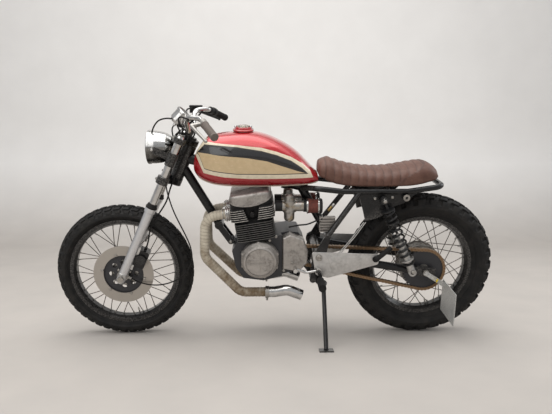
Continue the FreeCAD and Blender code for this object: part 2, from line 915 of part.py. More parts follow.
def link_outline(route, sign):
    """The edge of the side plates: full at each pin and waisted between two pins."""
    links = round(route.Length / size("chain_pitch"))
    points = []
    for half_step in range(2 * links):
        remaining = route.Length * half_step / (2 * links)
        edge = route.Edges[0]
        for edge in route.Edges:
            if remaining <= edge.Length:
                break
            remaining -= edge.Length
        parameter = edge.getParameterByLength(remaining)
        forwards = edge.tangentAt(parameter)
        outward = Vector(-forwards.z, 0, forwards.x)
        reach = size("chain_plate_waist") if half_step % 2 else size("chain_plate_half_height")
        points.append(edge.valueAt(parameter) + outward * (sign * reach))
    return Part.Face(Part.makePolygon(points + points[:1]))


def drive_chain():
    """Two rows of waisted side plates, joined above the teeth by one band over the rollers."""
    pitch = size("chain_pitch")
    front = Vector(size("front_sprocket_x"), 0, size("front_sprocket_height"))
    rear = REAR_WHEEL.Base
    front_radius = pitch / (2 * math.sin(math.pi / size("front_sprocket_teeth")))
    rear_radius = pitch / (2 * math.sin(math.pi / size("sprocket_teeth")))
    route = chain_route(front, front_radius, rear, rear_radius)
    outlines = sorted((link_outline(route, 1), link_outline(route, -1)), key=lambda face: face.Area)
    width = size("2 * chain_half_width")
    slot_width = size("sprocket_wall + 4 * seat_gap")
    plates = outlines[1].cut(outlines[0]).extrude(Vector(0, width, 0))
    rise = size("chain_roller_half_height")
    under_band = Part.Face(chain_route(front, front_radius + rise, rear, rear_radius + rise))
    slot = under_band.extrude(Vector(0, slot_width, 0))
    slot.translate(Vector(0, (width - slot_width) / 2, 0))
    loop = plates.cut(slot)
    loop.translate(Vector(0, size("-chain_reach") - width / 2, 0))
    name_piece(shape_piece("chain_loop", loop), "drive_chain")


# Fork and steering, drawn along the fork with z up the legs

def fork_leg(name, corners):
    return lathe(name, corners, "XZ_Plane")


def fork_sliders():
    leg = fork_leg("slider", [
        ("0", "-slider_foot"),
        ("slider_toe_radius", "-slider_foot"),
        ("slider_radius", "-slider_foot / 2"),
        ("slider_radius", "slider_length - slider_lip_height"),
        ("slider_lip_radius", "slider_length - slider_lip_height + slider_lip_step"),
        ("slider_lip_radius", "slider_length"),
        ("stanchion_radius + fit_gap", "slider_length"),
        ("stanchion_radius + fit_gap", "slider_length - slider_bore_depth"),
        ("0", "slider_length - slider_bore_depth"),
    ])
    leg.Placement = Placement(Vector(0, size("-fork_half_spread"), 0), Rotation())
    hole = cylinder("slider_axle_hole", "front_axle_radius + fit_gap", "4 * slider_radius",
                    Vector(0, size("-fork_half_spread - 2 * slider_radius"), 0), Vector(0, 1, 0))
    name_piece(pair("sliders", cut("slider_bored", leg, hole)), "fork_sliders", FORK)


def fork_stanchions():
    foot = "slider_length - slider_bore_depth + seat_gap"
    head = "slider_length - slider_bore_depth + stanchion_length"
    leg = fork_leg("stanchion", [
        ("0", foot),
        ("stanchion_radius", foot),
        ("stanchion_radius", head),
        ("stanchion_radius - stanchion_cap / 2", f"{head} + stanchion_cap"),
        ("0", f"{head} + stanchion_cap"),
    ])
    leg.Placement = Placement(Vector(0, size("-fork_half_spread"), 0), Rotation())
    name_piece(pair("stanchions", leg), "fork_stanchions", FORK)


def yoke_plate(name, height, wall):
    """The flat web between the leg clamps and the stem, with its bored clamps."""
    web = slab(name + "_web", "XY_Plane", [
        ("-yoke_arm_half_depth", "-fork_half_spread"),
        ("yoke_web_rear", "-fork_half_spread"),
        ("fork_offset + stem_boss_radius / 2", "-stem_boss_radius"),
        ("fork_offset + stem_boss_radius / 2", "stem_boss_radius"),
        ("yoke_web_rear", "fork_half_spread"),
        ("-yoke_arm_half_depth", "fork_half_spread"),
        ("-yoke_arm_half_depth / 2", "0"),
    ], f"{wall} * yoke_web_share")
    middle = size(f"{height} + {wall} / 2")
    web.Placement = Placement(Vector(0, 0, middle), Rotation())
    clamps = [web]
    bores = []
    for sign in (-1, 1):
        base = Vector(0, sign * size("fork_half_spread"), size(height))
        clamps.append(cylinder(f"{name}_clamp_{sign + 1}", "yoke_clamp_radius", wall, base))
        bores.append(cylinder(f"{name}_bore_{sign + 1}", "stanchion_radius + fit_gap / 2",
                              f"{wall} + 2 * overrun", base - Vector(0, 0, size("overrun"))))
    clamps.append(cylinder(name + "_boss", "stem_boss_radius", wall,
                           Vector(size("fork_offset"), 0, size(height))))
    return clamps, bores


def lower_yoke():
    clamps, bores = yoke_plate("lower", "lower_yoke_height", "lower_yoke_wall")
    stem_base = Vector(size("fork_offset"), 0, size("lower_yoke_height"))
    nut_base = "upper_yoke_height + upper_yoke_wall + seat_gap"
    clamps.append(cylinder("stem", "stem_radius", f"{nut_base} - lower_yoke_height", stem_base))
    clamps.append(cylinder("stem_nut", "stem_nut_radius", "stem_nut_height",
                           Vector(size("fork_offset"), 0, size(nut_base))))
    lower_seat = "lower_yoke_height + lower_yoke_wall"
    for name, start, height in (
        ("lower_bearing", lower_seat, f"bearing_height + head_tube_start - ({lower_seat})"),
        ("upper_bearing", "head_tube_end - bearing_height", "bearing_height"),
    ):
        clamps.append(cylinder(name, "head_tube_bore - seat_gap", height,
                               Vector(size("fork_offset"), 0, size(start))))
    body = cut("lower_yoke_bored", fused("lower_yoke_whole", clamps), fused("lower_bores", bores))
    name_piece(body, "lower_yoke", FORK)


def bar_height():
    """How far the bar's middle lies above the fork's foot, along the fork."""
    return size("upper_yoke_height + upper_yoke_wall + riser_height")


def upper_yoke():
    clamps, bores = yoke_plate("upper", "upper_yoke_height", "upper_yoke_wall")
    bores.append(cylinder("upper_stem_bore", "stem_radius + fit_gap / 2", "upper_yoke_wall + 2 * overrun",
                          Vector(size("fork_offset"), 0, size("upper_yoke_height - overrun"))))
    for sign in (-1, 1):
        base = Vector(size("fork_offset / 2"), sign * size("riser_half_spread"), size("upper_yoke_height"))
        clamps.append(cylinder(f"riser_{sign + 1}", "riser_radius", "upper_yoke_wall + riser_height", base))
        ring_base = Vector(size("fork_offset / 2"),
                           sign * size("riser_half_spread") - size("bar_clamp_length / 2"), bar_height())
        clamps.append(cylinder(f"bar_clamp_{sign + 1}", "bar_clamp_radius", "bar_clamp_length",
                               ring_base, Vector(0, 1, 0)))
    bores.append(cylinder("bar_bore", "bar_radius + fit_gap / 2", "4 * riser_half_spread",
                          Vector(size("fork_offset / 2"), size("-2 * riser_half_spread"), bar_height()),
                          Vector(0, 1, 0)))
    body = cut("upper_yoke_bored", fused("upper_yoke_whole", clamps), fused("upper_bores", bores))
    name_piece(body, "upper_yoke", FORK)


def bar_origin():
    """The bar's middle on the upright machine."""
    return FORK.multVec(Vector(size("fork_offset / 2"), 0, bar_height()))


def bar_point(across, back, up):
    return bar_origin() + Vector(back, across, up)


def grip_start():
    return bar_point(size("bar_grip_start"), size("bar_grip_start_back"), size("bar_rise"))


def grip_end():
    return bar_point(size("bar_half_width"), size("bar_end_back"), size("bar_end_drop"))


def handlebar():
    centre = size("bar_centre_half")
    right = [
        bar_point(centre, 0, 0),
        bar_point(size("bar_bend_reach"), size("bar_bend_back"), size("bar_rise")),
        grip_start(),
        grip_end(),
    ]
    left = [side(point, -1) for point in reversed(right)]
    bar = tube(left + right, size("bar_radius"), size("bar_bend_radius"))
    name_piece(shape_piece("bar", bar), "handlebar")


def grips():
    start, end = grip_start(), grip_end()
    along = (end - start).normalize()
    base = end - along * size("grip_length - overrun")
    sleeve = cylinder("grip_sleeve", "grip_radius", "grip_length", base, along)
    bore = cylinder("grip_bore", "bar_radius + seat_gap", "grip_length - overrun + seat_gap", base, along)
    name_piece(pair("grip_pair", cut("grip", sleeve, bore)), "grips")


def rounded_block(length, width, height, corner, centre):
    """A block on its base, with its four upright edges rounded."""
    block = Part.makeBox(length, width, height, centre - Vector(length / 2, width / 2, 0))
    upright = [edge for edge in block.Edges if edge.BoundBox.ZLength > height / 2]
    return block.makeFillet(corner, upright)


def lever_set(name, label, sign, with_reservoir):
    """A clamp round the bar, a pivot block ahead of it and a tapered blade before the grip."""
    start, end = grip_start(), grip_end()
    along = (end - start).normalize()
    ahead = Vector(-1, 0, 0)
    ahead = (ahead - along * ahead.dot(along)).normalize()
    shift = size("switch_length") if with_reservoir else 0
    base = end - along * (size("grip_length - overrun + perch_length + seat_gap") + shift)
    ring = Part.makeCylinder(size("perch_radius"), size("perch_length"), base, along)
    middle = base + along * size("perch_length / 2")
    arm = Part.makeCylinder(size("lever_arm_radius"), size("lever_reach"), middle, ahead)
    knuckle = middle + ahead * size("lever_reach")
    tip = (knuckle + along * (size("grip_length + perch_length") + shift)
           - ahead * size("lever_reach * lever_tip_share"))
    blade = Part.makeCone(size("lever_root_radius"), size("lever_radius"), (tip - knuckle).Length,
                          knuckle, tip - knuckle)
    ball = Part.makeSphere(size("lever_ball_radius"), tip)
    pieces = [arm, blade, ball]
    if with_reservoir:
        length, width = size("reservoir_length"), size("reservoir_width")
        corner, lip = size("reservoir_corner"), size("reservoir_lid_lip")
        height = size("reservoir_height - reservoir_lid_wall")
        foot = middle + Vector(-length / 2 - size("reservoir_ahead"), 0, size("-lever_arm_radius"))
        pieces.append(rounded_block(length, width, height, corner, foot))
        pieces.append(rounded_block(length + 2 * lip, width + 2 * lip, size("reservoir_lid_wall"),
                                    corner + lip, foot + Vector(0, 0, height)))
        pieces.append(Part.makeCylinder(size("switch_radius"), shift,
                                        base + along * size("perch_length"), along))
    whole = ring.multiFuse(pieces)
    bore = Part.makeCylinder(size("bar_radius + fit_gap"), size("perch_length * 4"),
                             base - along * size("perch_length"), along)
    whole = whole.cut(bore).removeSplitter()
    if sign < 0:
        whole = whole.mirror(Vector(), Vector(0, 1, 0))
    name_piece(shape_piece(name, whole), label)


# Outline shares of the bowl: radius as a share of its own, then depth as a share of its own
BOWL_SHARES = ((0.45, 1.0), (0.68, 0.9), (0.86, 0.72), (0.96, 0.5), (1.0, 0.3))
REFLECTOR_SHARES = ((0.9, 0.22), (0.75, 0.46), (0.55, 0.72), (0.38, 0.88))


def headlamp():
    """A bowl with a rolled rim, a deep reflector with its bulb, and a domed lens."""
    opening = "headlamp_radius - lens_inset"
    shell = lathe("headlamp_bowl", [
        ("0", "-headlamp_depth"),
    ] + [(f"headlamp_radius * {out}", f"-headlamp_depth * {back}") for out, back in BOWL_SHARES] + [
        ("headlamp_radius", "-headlamp_rim_depth"),
        ("headlamp_rim_radius", "-headlamp_rim_depth"),
        ("headlamp_rim_radius", "-headlamp_rim_depth / 4"),
        ("headlamp_radius", "0"),
        (opening, "0"),
        (opening, "-lens_wall - seat_gap"),
    ] + [(f"({opening}) * {out}", f"-reflector_depth * {back}") for out, back in REFLECTOR_SHARES] + [
        ("reflector_neck_radius", "-reflector_depth"),
        ("bulb_radius", "-reflector_depth"),
        ("bulb_radius", "bulb_length - bulb_radius / 2 - reflector_depth"),
        ("bulb_radius / 2", "bulb_length - reflector_depth"),
        ("0", "bulb_length - reflector_depth"),
    ], "XZ_Plane")
    facing = Placement(
        Vector(size("headlamp_front_x"), 0, size("headlamp_height")),
        Rotation(Vector(0, 1, 0), -90),
    )
    name_piece(shell, "headlamp_shell", facing)
    edge = f"{opening} - seat_gap"
    lens = lathe("headlamp_glass", [
        ("0", "lens_rise - lens_wall"),
        (f"({edge}) / 2", "lens_rise * lens_shoulder_share - lens_wall"),
        (edge, "-lens_wall"),
        (edge, "0"),
        (f"({edge}) / 2", "lens_rise * lens_shoulder_share"),
        ("0", "lens_rise"),
    ], "XZ_Plane")
    name_piece(lens, "headlamp_lens", facing)


def headlamp_ears():
    """Each ear is clamped round a leg and reaches forwards to the side of the bowl."""
    leg = Vector(0, size("-fork_half_spread"), 0)
    lamp = FORK.inverse().multVec(Vector(size("headlamp_front_x + headlamp_depth * ear_lamp_share"), 0,
                                         size("headlamp_height")))
    base = Vector(0, leg.y, lamp.z - size("ear_height / 2"))
    ring = cylinder("ear_ring", "stanchion_radius + ear_wall", "ear_height", base)
    gap = size("headlamp_radius + seat_gap")
    reach = box("ear_arm", "headlamp_depth * ear_reach_share", "ear_wall", "ear_height / 2",
                Vector(lamp.x / 2, -gap - size("ear_wall / 2"), lamp.z))
    bore = cylinder("ear_bore", "stanchion_radius + fit_gap / 2", "2 * ear_height",
                    base - Vector(0, 0, size("ear_height / 2")))
    name_piece(pair("ears", cut("ear", fused("ear_whole", [ring, reach]), bore)), "headlamp_ears", FORK)


SPEEDO_SHARES = ((0.7, 1), (0.95, 0.8), (0.95, 0.2), (1, 0.15), (1, 0), (0.88, 0), (0.88, 0.08))


def speedometer():
    """A round can tilted back above the upper yoke, on a short post."""
    profile = [(f"speedo_radius * {out}", f"-speedo_depth * {down}") for out, down in SPEEDO_SHARES]
    can = lathe("speedo_can", [("0", "-speedo_depth")] + profile + [("0", profile[-1][1])], "XZ_Plane")
    facing = FORK.multiply(Placement(
        Vector(size("speedo_back - fork_offset"), size("speedo_side"), size("speedo_height + speedo_depth")),
        Rotation(Vector(0, 1, 0), size("speedo_tilt")),
    ))
    can.Placement = FORK.inverse().multiply(facing)
    web_top = "upper_yoke_height + upper_yoke_wall * (1 + yoke_web_share) / 2"
    post = cylinder("speedo_post", "speedo_post_radius",
                    f"speedo_height + speedo_depth * speedo_post_share - ({web_top})",
                    Vector(size("-speedo_post_ahead"), size("speedo_side"), size(f"{web_top} + seat_gap")))
    down = can.Placement.Rotation.multVec(Vector(0, 0, -1))
    socket = cylinder("speedo_union", "union_radius", "union_length",
                      can.Placement.multVec(Vector(0, 0, size("-speedo_depth"))), down)
    name_piece(fused("speedo_whole", [can, post, socket]), "speedometer", FORK)


def front_axle():
    """The axle with its nuts, and the cable's drive box between the disc and the left leg."""
    length = "2 * (fork_half_spread + slider_radius + axle_nut_length)"
    rod = cylinder("front_axle_rod", "front_axle_radius", length,
                   Vector(0, size("-(fork_half_spread + slider_radius + axle_nut_length)"), 0),
                   Vector(0, 1, 0))
    nuts = []
    for sign in (-1, 1):
        start = sign * size("fork_half_spread + slider_radius + seat_gap")
        nuts.append(cylinder(f"front_axle_nut_{sign + 1}", "axle_nut_radius", "axle_nut_length",
                             Vector(0, start, 0), Vector(0, sign, 0)))
    drive_start = size("-(fork_half_spread - slider_radius - seat_gap)")
    nuts.append(cylinder("speedo_drive", "speedo_drive_radius", "speedo_drive_width",
                         Vector(0, drive_start, 0), Vector(0, 1, 0)))
    rearwards = FORK.Rotation.multVec(Vector(1, 0, 0))
    nuts.append(cylinder("speedo_socket", "union_radius", "speedo_drive_radius + union_length",
                         Vector(0, drive_start + size("speedo_drive_width / 2"), 0), rearwards))
    name_piece(fused("front_axle_whole", [rod] + nuts), "front_axle", FRONT_WHEEL)


def brake_caliper():
    """A rounded block behind the left leg, slotted for the disc, with its piston housing outside."""
    height = size("disc_radius - disc_ring_width / 2")
    behind = size("slider_radius + caliper_height / 2 + seat_gap")
    across = size("-disc_reach - caliper_offset")
    length, width, tall = size("caliper_height"), size("caliper_width"), size("caliper_length")
    block = Part.makeBox(length, width, tall,
                         Vector(behind - length / 2, across - width / 2, height - tall / 2))
    crosswise = [edge for edge in block.Edges if edge.BoundBox.YLength > width / 2]
    block = block.makeFillet(size("caliper_corner"), crosswise)
    housing = Part.makeCylinder(size("piston_housing_radius"), width / 2 + size("piston_housing_reach"),
                                Vector(behind, across, height), Vector(0, -1, 0))
    lug_tall = tall / 3
    lug = Part.makeBox(length, size("slider_radius"), lug_tall,
                       Vector(behind - length / 2, -size("fork_half_spread + slider_radius / 2"),
                              height - lug_tall / 2))
    slot = lathe("caliper_slot", [
        ("0", "-(disc_reach + disc_wall)"),
        ("disc_radius + overrun", "-(disc_reach + disc_wall)"),
        ("disc_radius + overrun", "-(disc_reach - disc_wall)"),
        ("disc_radius - disc_ring_width + carrier_lip + overrun", "-(disc_reach - disc_wall)"),
        ("disc_radius - disc_ring_width + carrier_lip + overrun", "0"),
        ("0", "0"),
    ])
    union_foot = Vector(behind, size("-caliper_union_reach"), height + tall / 2)
    union = Part.makeCylinder(size("union_radius"), size("union_length"), union_foot, Vector(0, 0, 1))
    whole = shape_piece("caliper_whole", block.multiFuse([housing, lug, union]).removeSplitter())
    name_piece(cut("caliper_slotted", whole, slot), "brake_caliper", FORK)


# Frame and swingarm

def head_point(height, back=0.0):
    return FORK.multVec(Vector(size("fork_offset") + back, 0, height))


def pivot_plate_shape(sign):
    """A flat plate over the swingarm's pivot, up to the cross tubes."""
    middle = size("pivot_plate_reach + pivot_plate_wall / 2")
    discs = []
    for x_name, z_name, radius_name in (("pivot_x", "pivot_height", "pivot_plate_radius"),
                                        ("upper_cross_x", "upper_cross_height", "cross_radius"),
                                        ("lower_cross_x", "lower_cross_height", "cross_radius")):
        base = Vector(size(x_name), sign * middle - size("pivot_plate_wall / 2"), size(z_name))
        discs.append(Part.makeCylinder(size(f"{radius_name} * pivot_plate_disc_share"),
                                       size("pivot_plate_wall"), base, Vector(0, 1, 0)))
    web_points = [
        Vector(size("upper_cross_x - cross_radius"), 0, size("upper_cross_height")),
        Vector(size("upper_cross_x + cross_radius"), 0, size("upper_cross_height")),
        Vector(size("pivot_x + pivot_plate_radius"), 0, size("pivot_height")),
        Vector(size("lower_cross_x + cross_radius"), 0, size("lower_cross_height")),
        Vector(size("lower_cross_x - cross_radius"), 0, size("lower_cross_height")),
        Vector(size("pivot_x - pivot_plate_radius"), 0, size("pivot_height")),
    ]
    outline = Part.Face(Part.makePolygon(web_points + web_points[:1]))
    web = outline.extrude(Vector(0, size("pivot_plate_wall"), 0))
    web.translate(Vector(0, sign * middle - size("pivot_plate_wall / 2"), 0))
    return discs + [web]


def engine_tabs():
    """Two pairs of flat tabs that hold the engine's front and rear lugs."""
    solids = []
    inner = size("engine_lug_half_width + seat_gap")
    wall = size("engine_tab_wall")
    for start_name, lug_name in (("downtube_foot", "front_lug"), ("lower_cross", "rear_lug")):
        start = Vector(size(f"{start_name}_x"), 0, size(f"{start_name}_height"))
        lug = Vector(size(f"{lug_name}_x"), 0, size(f"{lug_name}_height"))
        along = lug - start
        width = size("2 * engine_lug_radius")
        for low in (-inner - wall, inner):
            tab = Part.makeBox(along.Length, wall, width, Vector(0, 0, -width / 2))
            seat = Placement(start + Vector(0, low, 0), Rotation(Vector(1, 0, 0), along))
            tab.Placement = seat.multiply(tab.Placement)
            solids.append(tab)
            for end in (start, lug):
                solids.append(Part.makeCylinder(width / 2, wall, end + Vector(0, low, 0), Vector(0, 1, 0)))
    bridge = Part.makeCylinder(size("downtube_radius"), 2 * (inner + wall),
                               Vector(size("downtube_foot_x"), -inner - wall, size("downtube_foot_height")),
                               Vector(0, 1, 0))
    return solids + [bridge]


def frame():
    """Head tube, backbone, downtube and the plates round the swingarm's pivot."""
    bend = size("rail_bend_radius")
    head_length = size("head_tube_end - head_tube_start")
    up_fork = FORK.Rotation.multVec(Vector(0, 0, 1))
    head = Part.makeCylinder(size("head_tube_radius"), head_length,
                             head_point(size("head_tube_start")), up_fork)
    backbone_start, backbone_end = backbone_line()
    solids = [tube([backbone_start, backbone_end], size("backbone_radius"), bend)]
    down_start = head_point(size("head_tube_start") + head_length * size("downtube_start_share"))
    down_end = Vector(size("downtube_foot_x"), 0, size("downtube_foot_height"))
    solids.append(tube([down_start, down_end], size("downtube_radius"), bend))
    along = (backbone_end - backbone_start).normalize()
    for share_name in ("collar_front_share", "collar_rear_share"):
        base = backbone_start + (backbone_end - backbone_start) * size(share_name)
        solids.append(Part.makeCylinder(size("backbone_radius + tunnel_gap - seat_gap"),
                                        size("collar_length"), base, along))
    solids.extend(engine_tabs())
    solids.extend(stand_lug())
    for sign in (-1, 1):
        solids.extend(pivot_plate_shape(sign))
    width = size("2 * pivot_plate_reach")
    for x_name, z_name in (("upper_cross_x", "upper_cross_height"), ("lower_cross_x", "lower_cross_height")):
        base = Vector(size(x_name), -width / 2, size(z_name))
        solids.append(Part.makeCylinder(size("cross_radius"), width, base, Vector(0, 1, 0)))
    solids.append(tube([backbone_tail(), Vector(size("upper_cross_x"), 0, size("upper_cross_height"))],
                       size("downtube_radius"), bend))
    bore = Part.makeCylinder(size("head_tube_bore"), head_length + size("2 * overrun"),
                             head_point(size("head_tube_start - overrun")), up_fork)
    bore_base = Vector(size("pivot_x"), size("-2 * pivot_plate_reach"), size("pivot_height"))
    pivot_bore = Part.makeCylinder(size("pivot_bolt_radius + fit_gap"), size("4 * pivot_plate_reach"),
                                   bore_base, Vector(0, 1, 0))
    whole = head.multiFuse(solids).cut(Part.makeCompound([bore, pivot_bore]))
    name_piece(shape_piece("frame_tubes", whole), "frame")
    return whole


def backbone_line():
    """Where the backbone starts on the head tube and where it ends under the seat's nose."""
    head_length = size("head_tube_end - head_tube_start")
    start = head_point(size("head_tube_start") + head_length * size("backbone_front_share"))
    return start, Vector(size("backbone_rear_x"), 0, size("backbone_rear_height"))


def backbone_tail():
    return Vector(size("backbone_rear_x - backbone_radius"), 0, size("backbone_rear_height"))


# Corners of the plate as shares of its length rearwards and its depth below the rail
GUSSET_SHARES = (
    (0.0, 0.0), (0.1, 0.65), (0.145, 1.0), (0.34, 0.9), (0.43, 0.82), (0.52, 0.58), (0.8, 0.38), (1.0, 0.05),
    (0.98, 0.0),
)


def gusset_plate(sign):
    """The flat plate under a seat rail that holds the shock and the rack boss."""
    corners = [
        Vector(size("gusset_front_x") + along * size("gusset_length"), 0,
               size("rail_height") - down * size("gusset_depth"))
        for along, down in GUSSET_SHARES
    ]
    plate = Part.Face(Part.makePolygon(corners + corners[:1])).extrude(Vector(0, size("gusset_wall"), 0))
    plate.translate(Vector(0, sign * size("rail_half_spread") - size("gusset_wall / 2"), 0))
    return plate


def seat_rails(main_frame):
    """The tail loop that carries the seat, its two rear tubes, and what is welded to them."""
    bend = size("rail_bend_radius")
    spread = size("rail_half_spread")
    rail_right = [
        backbone_tail() + Vector(0, size("rail_radius"), 0),
        Vector(size("rail_start_x"), spread, size("rail_height + rail_radius")),
        Vector(size("rail_low_x"), spread, size("rail_height")),
        Vector(size("rail_kick_x"), spread, size("rail_height")),
        Vector(size("hoop_x - rail_radius"), spread * size("hoop_spread_share"),
               size("rail_height + hoop_rise")),
    ]
    rail_left = [side(point, -1) for point in reversed(rail_right)]
    loop = tube(rail_right + rail_left, size("rail_radius"), bend * size("hoop_bend_share"))
    solids = []
    for sign in (-1, 1):
        top = Vector(size("rear_tube_top_x"), sign * spread, size("rail_height"))
        foot = Vector(size("upper_cross_x"), sign * size("pivot_plate_reach"), size("upper_cross_height"))
        solids.append(tube([top, foot], size("rail_radius"), bend))
        stud_base = Vector(size("shock_top_x"), sign * spread, size("rail_height - shock_top_drop"))
        stud_length = size("shock_stud_reach - rail_half_spread")
        solids.append(Part.makeCylinder(size("shock_stud_radius"), stud_length,
                                        stud_base, Vector(0, sign, 0)))
        solids.append(Part.makeBox(size("2 * shock_lug_radius"), size("rail_radius"),
                                   size("shock_top_drop + shock_stud_radius"),
                                   stud_base - Vector(size("shock_lug_radius"), size("rail_radius / 2"),
                                                      size("shock_stud_radius"))))
        boss_base = Vector(size("rack_boss_x"), sign * size("rack_boss_inner"),
                           size("rail_height - rack_boss_drop"))
        solids.append(Part.makeCylinder(size("rack_boss_radius"), size("rack_boss_length"),
                                        boss_base, Vector(0, sign, 0)))
        for x_name in ("buffer_front_x", "buffer_rear_x"):
            base = Vector(size(x_name), sign * (spread - size("rail_radius")), size("rail_height"))
            solids.append(Part.makeCylinder(size("buffer_radius"), size("seat_rise - seat_gap"), base))
        solids.append(gusset_plate(sign))
    rack_bore = Part.makeCylinder(size("rack_bore_radius"), size("4 * rack_boss_inner"),
                                  Vector(size("rack_boss_x"), size("-2 * rack_boss_inner"),
                                         size("rail_height - rack_boss_drop")), Vector(0, 1, 0))
    whole = loop.multiFuse(solids).cut(rack_bore).cut(main_frame)
    largest = max(whole.Solids, key=lambda solid: solid.Volume)
    name_piece(shape_piece("seat_rail_tubes", largest), "seat_rails")


def swingarm():
    """Two arms on a cross tube, with slotted ends for the axle and a stud for each shock."""
    pivot = Vector(size("pivot_x"), 0, size("pivot_height"))
    pivot_half = size("pivot_plate_reach - seat_gap")
    solids = [Part.makeCylinder(size("swingarm_pivot_radius"), 2 * pivot_half,
                                pivot - Vector(0, pivot_half, 0), Vector(0, 1, 0))]
    axle = REAR_WHEEL.Base
    direction = (axle - pivot).normalize()
    arm_end = axle - direction * size("swingarm_end_length / 2")
    for sign in (-1, 1):
        shift = Vector(0, sign * size("swingarm_half_spread"), 0)
        solids.append(tube([pivot + shift, arm_end + shift],
                           size("swingarm_radius"), size("rail_bend_radius")))
        end = Part.makeBox(size("swingarm_end_length"), size("swingarm_end_wall"),
                           size("swingarm_end_height"),
                           Vector(size("-swingarm_end_length / 2"), size("-swingarm_end_wall / 2"),
                                  size("-swingarm_end_height / 2")))
        end.Placement = Placement(axle + shift, Rotation(Vector(1, 0, 0), direction)).multiply(end.Placement)
        solids.append(end)
        share = (size("shock_foot_x") - pivot.x) / (axle.x - pivot.x)
        foot = pivot + (axle - pivot) * share + shift
        solids.append(Part.makeCylinder(size("shock_stud_radius"),
                                        size("shock_stud_reach - swingarm_half_spread"),
                                        foot, Vector(0, sign, 0)))
    whole = solids[0].multiFuse(solids[1:])
    for centre, radius in ((axle, "rear_axle_radius + fit_gap"), (pivot, "pivot_bolt_radius + fit_gap")):
        bore = Part.makeCylinder(size(radius), size("4 * pivot_plate_reach"),
                                 Vector(centre.x, -size("2 * pivot_plate_reach"), centre.z), Vector(0, 1, 0))
        whole = whole.cut(bore)
    name_piece(shape_piece("swingarm_tubes", whole), "swingarm")


def shock_foot():
    pivot = Vector(size("pivot_x"), 0, size("pivot_height"))
    share = (size("shock_foot_x") - pivot.x) / (REAR_WHEEL.Base.x - pivot.x)
    return pivot + (REAR_WHEEL.Base - pivot) * share


def rear_axle():
    reach = "swingarm_half_spread + swingarm_end_wall / 2 + seat_gap"
    length = size(f"2 * ({reach} + axle_nut_length)")
    rod = Part.makeCylinder(size("rear_axle_radius"), length, Vector(0, -length / 2, 0), Vector(0, 1, 0))
    nuts = []
    for sign in (-1, 1):
        base = Vector(0, sign * size(reach), 0)
        nuts.append(Part.makeCylinder(size("axle_nut_radius"), size("axle_nut_length"),
                                      base, Vector(0, sign, 0)))
    arm_face = size("swingarm_half_spread - swingarm_end_wall / 2 - seat_gap")
    for start, end in ((-arm_face, size("-(chain_reach + sprocket_wall + 2 * seat_gap)")),
                       (size("rear_drum_reach + brake_plate_wall + 2 * seat_gap"), arm_face)):
        nuts.append(Part.makeCylinder(size("axle_spacer_radius"), end - start,
                                      Vector(0, start, 0), Vector(0, 1, 0)))
    name_piece(shape_piece("rear_axle_rod", rod.multiFuse(nuts)), "rear_axle", REAR_WHEEL)
    plate = lathe("brake_plate_turned", [
        ("rear_axle_radius + fit_gap", "rear_drum_reach + seat_gap"),
        ("rear_drum_radius - overrun", "rear_drum_reach + seat_gap"),
        ("rear_drum_radius - 2 * overrun", "rear_drum_reach + brake_plate_wall"),
        ("axle_spacer_radius * brake_plate_boss_share", "rear_drum_reach + brake_plate_wall + seat_gap"),
        ("rear_axle_radius + fit_gap", "rear_drum_reach + brake_plate_wall + seat_gap"),
    ])
    name_piece(plate, "rear_brake_plate", REAR_WHEEL)
    bolt_half = size("pivot_plate_reach + pivot_plate_wall")
    bolt = Part.makeCylinder(size("pivot_bolt_radius"), 2 * bolt_half,
                             Vector(0, -bolt_half, 0), Vector(0, 1, 0))
    name_piece(shape_piece("pivot_bolt_rod", bolt), "pivot_bolt",
               Placement(Vector(size("pivot_x"), 0, size("pivot_height")), Rotation()))


def shocks():
    """Each damper stands between its two studs, with a coil spring round it."""
    foot = shock_foot() + Vector(0, size("-shock_reach"), 0)
    top = Vector(size("shock_top_x"), size("-shock_reach"), size("rail_height - shock_top_drop"))
    length = (top - foot).Length
    facing = Placement(foot, Rotation(Vector(0, 0, 1), top - foot))
    eye_half = size("shock_eye_half_width")
    body = Part.makeCylinder(size("damper_radius"), size("damper_length"),
                             Vector(0, 0, size("shock_eye_radius / 2")))
    rod = Part.makeCylinder(size("damper_rod_radius"), length, Vector())
    solids = [rod]
    for height in (0, length):
        solids.append(Part.makeCylinder(size("shock_eye_radius"), 2 * eye_half, Vector(0, -eye_half, height),
                                        Vector(0, 1, 0)))
    collar_wall = size("spring_collar_wall")
    low = size("spring_foot")
    high = length - size("spring_head")
    for start in (low - collar_wall, high):
        solids.append(Part.makeCylinder(size("spring_collar_radius"), collar_wall, Vector(0, 0, start)))
    whole = body.multiFuse(solids)
    for height in (0, length):
        bore = Part.makeCylinder(size("shock_stud_radius + fit_gap"), 4 * eye_half,
                                 Vector(0, -2 * eye_half, height), Vector(0, 1, 0))
        whole = whole.cut(bore)
    whole.Placement = facing
    left = shape_piece("damper", whole)
    name_piece(pair("damper_pair", left), "shock_dampers")
    wire = size("spring_wire_radius")
    coil_height = high - low - 2 * wire - size("2 * seat_gap")
    helix = Part.makeHelix(coil_height / size("spring_turns"), coil_height, size("spring_radius"))
    ring = Part.Wire(Part.makeCircle(wire, Vector(size("spring_radius"), 0, 0), Vector(0, 1, 0)))
    coil = Part.Wire(helix.Edges).makePipeShell([ring], True, True)
    coil.translate(Vector(0, 0, low + wire + size("seat_gap")))
    coil.Placement = facing.multiply(coil.Placement)
    name_piece(pair("spring_pair", shape_piece("spring", coil)), "shock_springs")


# Tank and seat

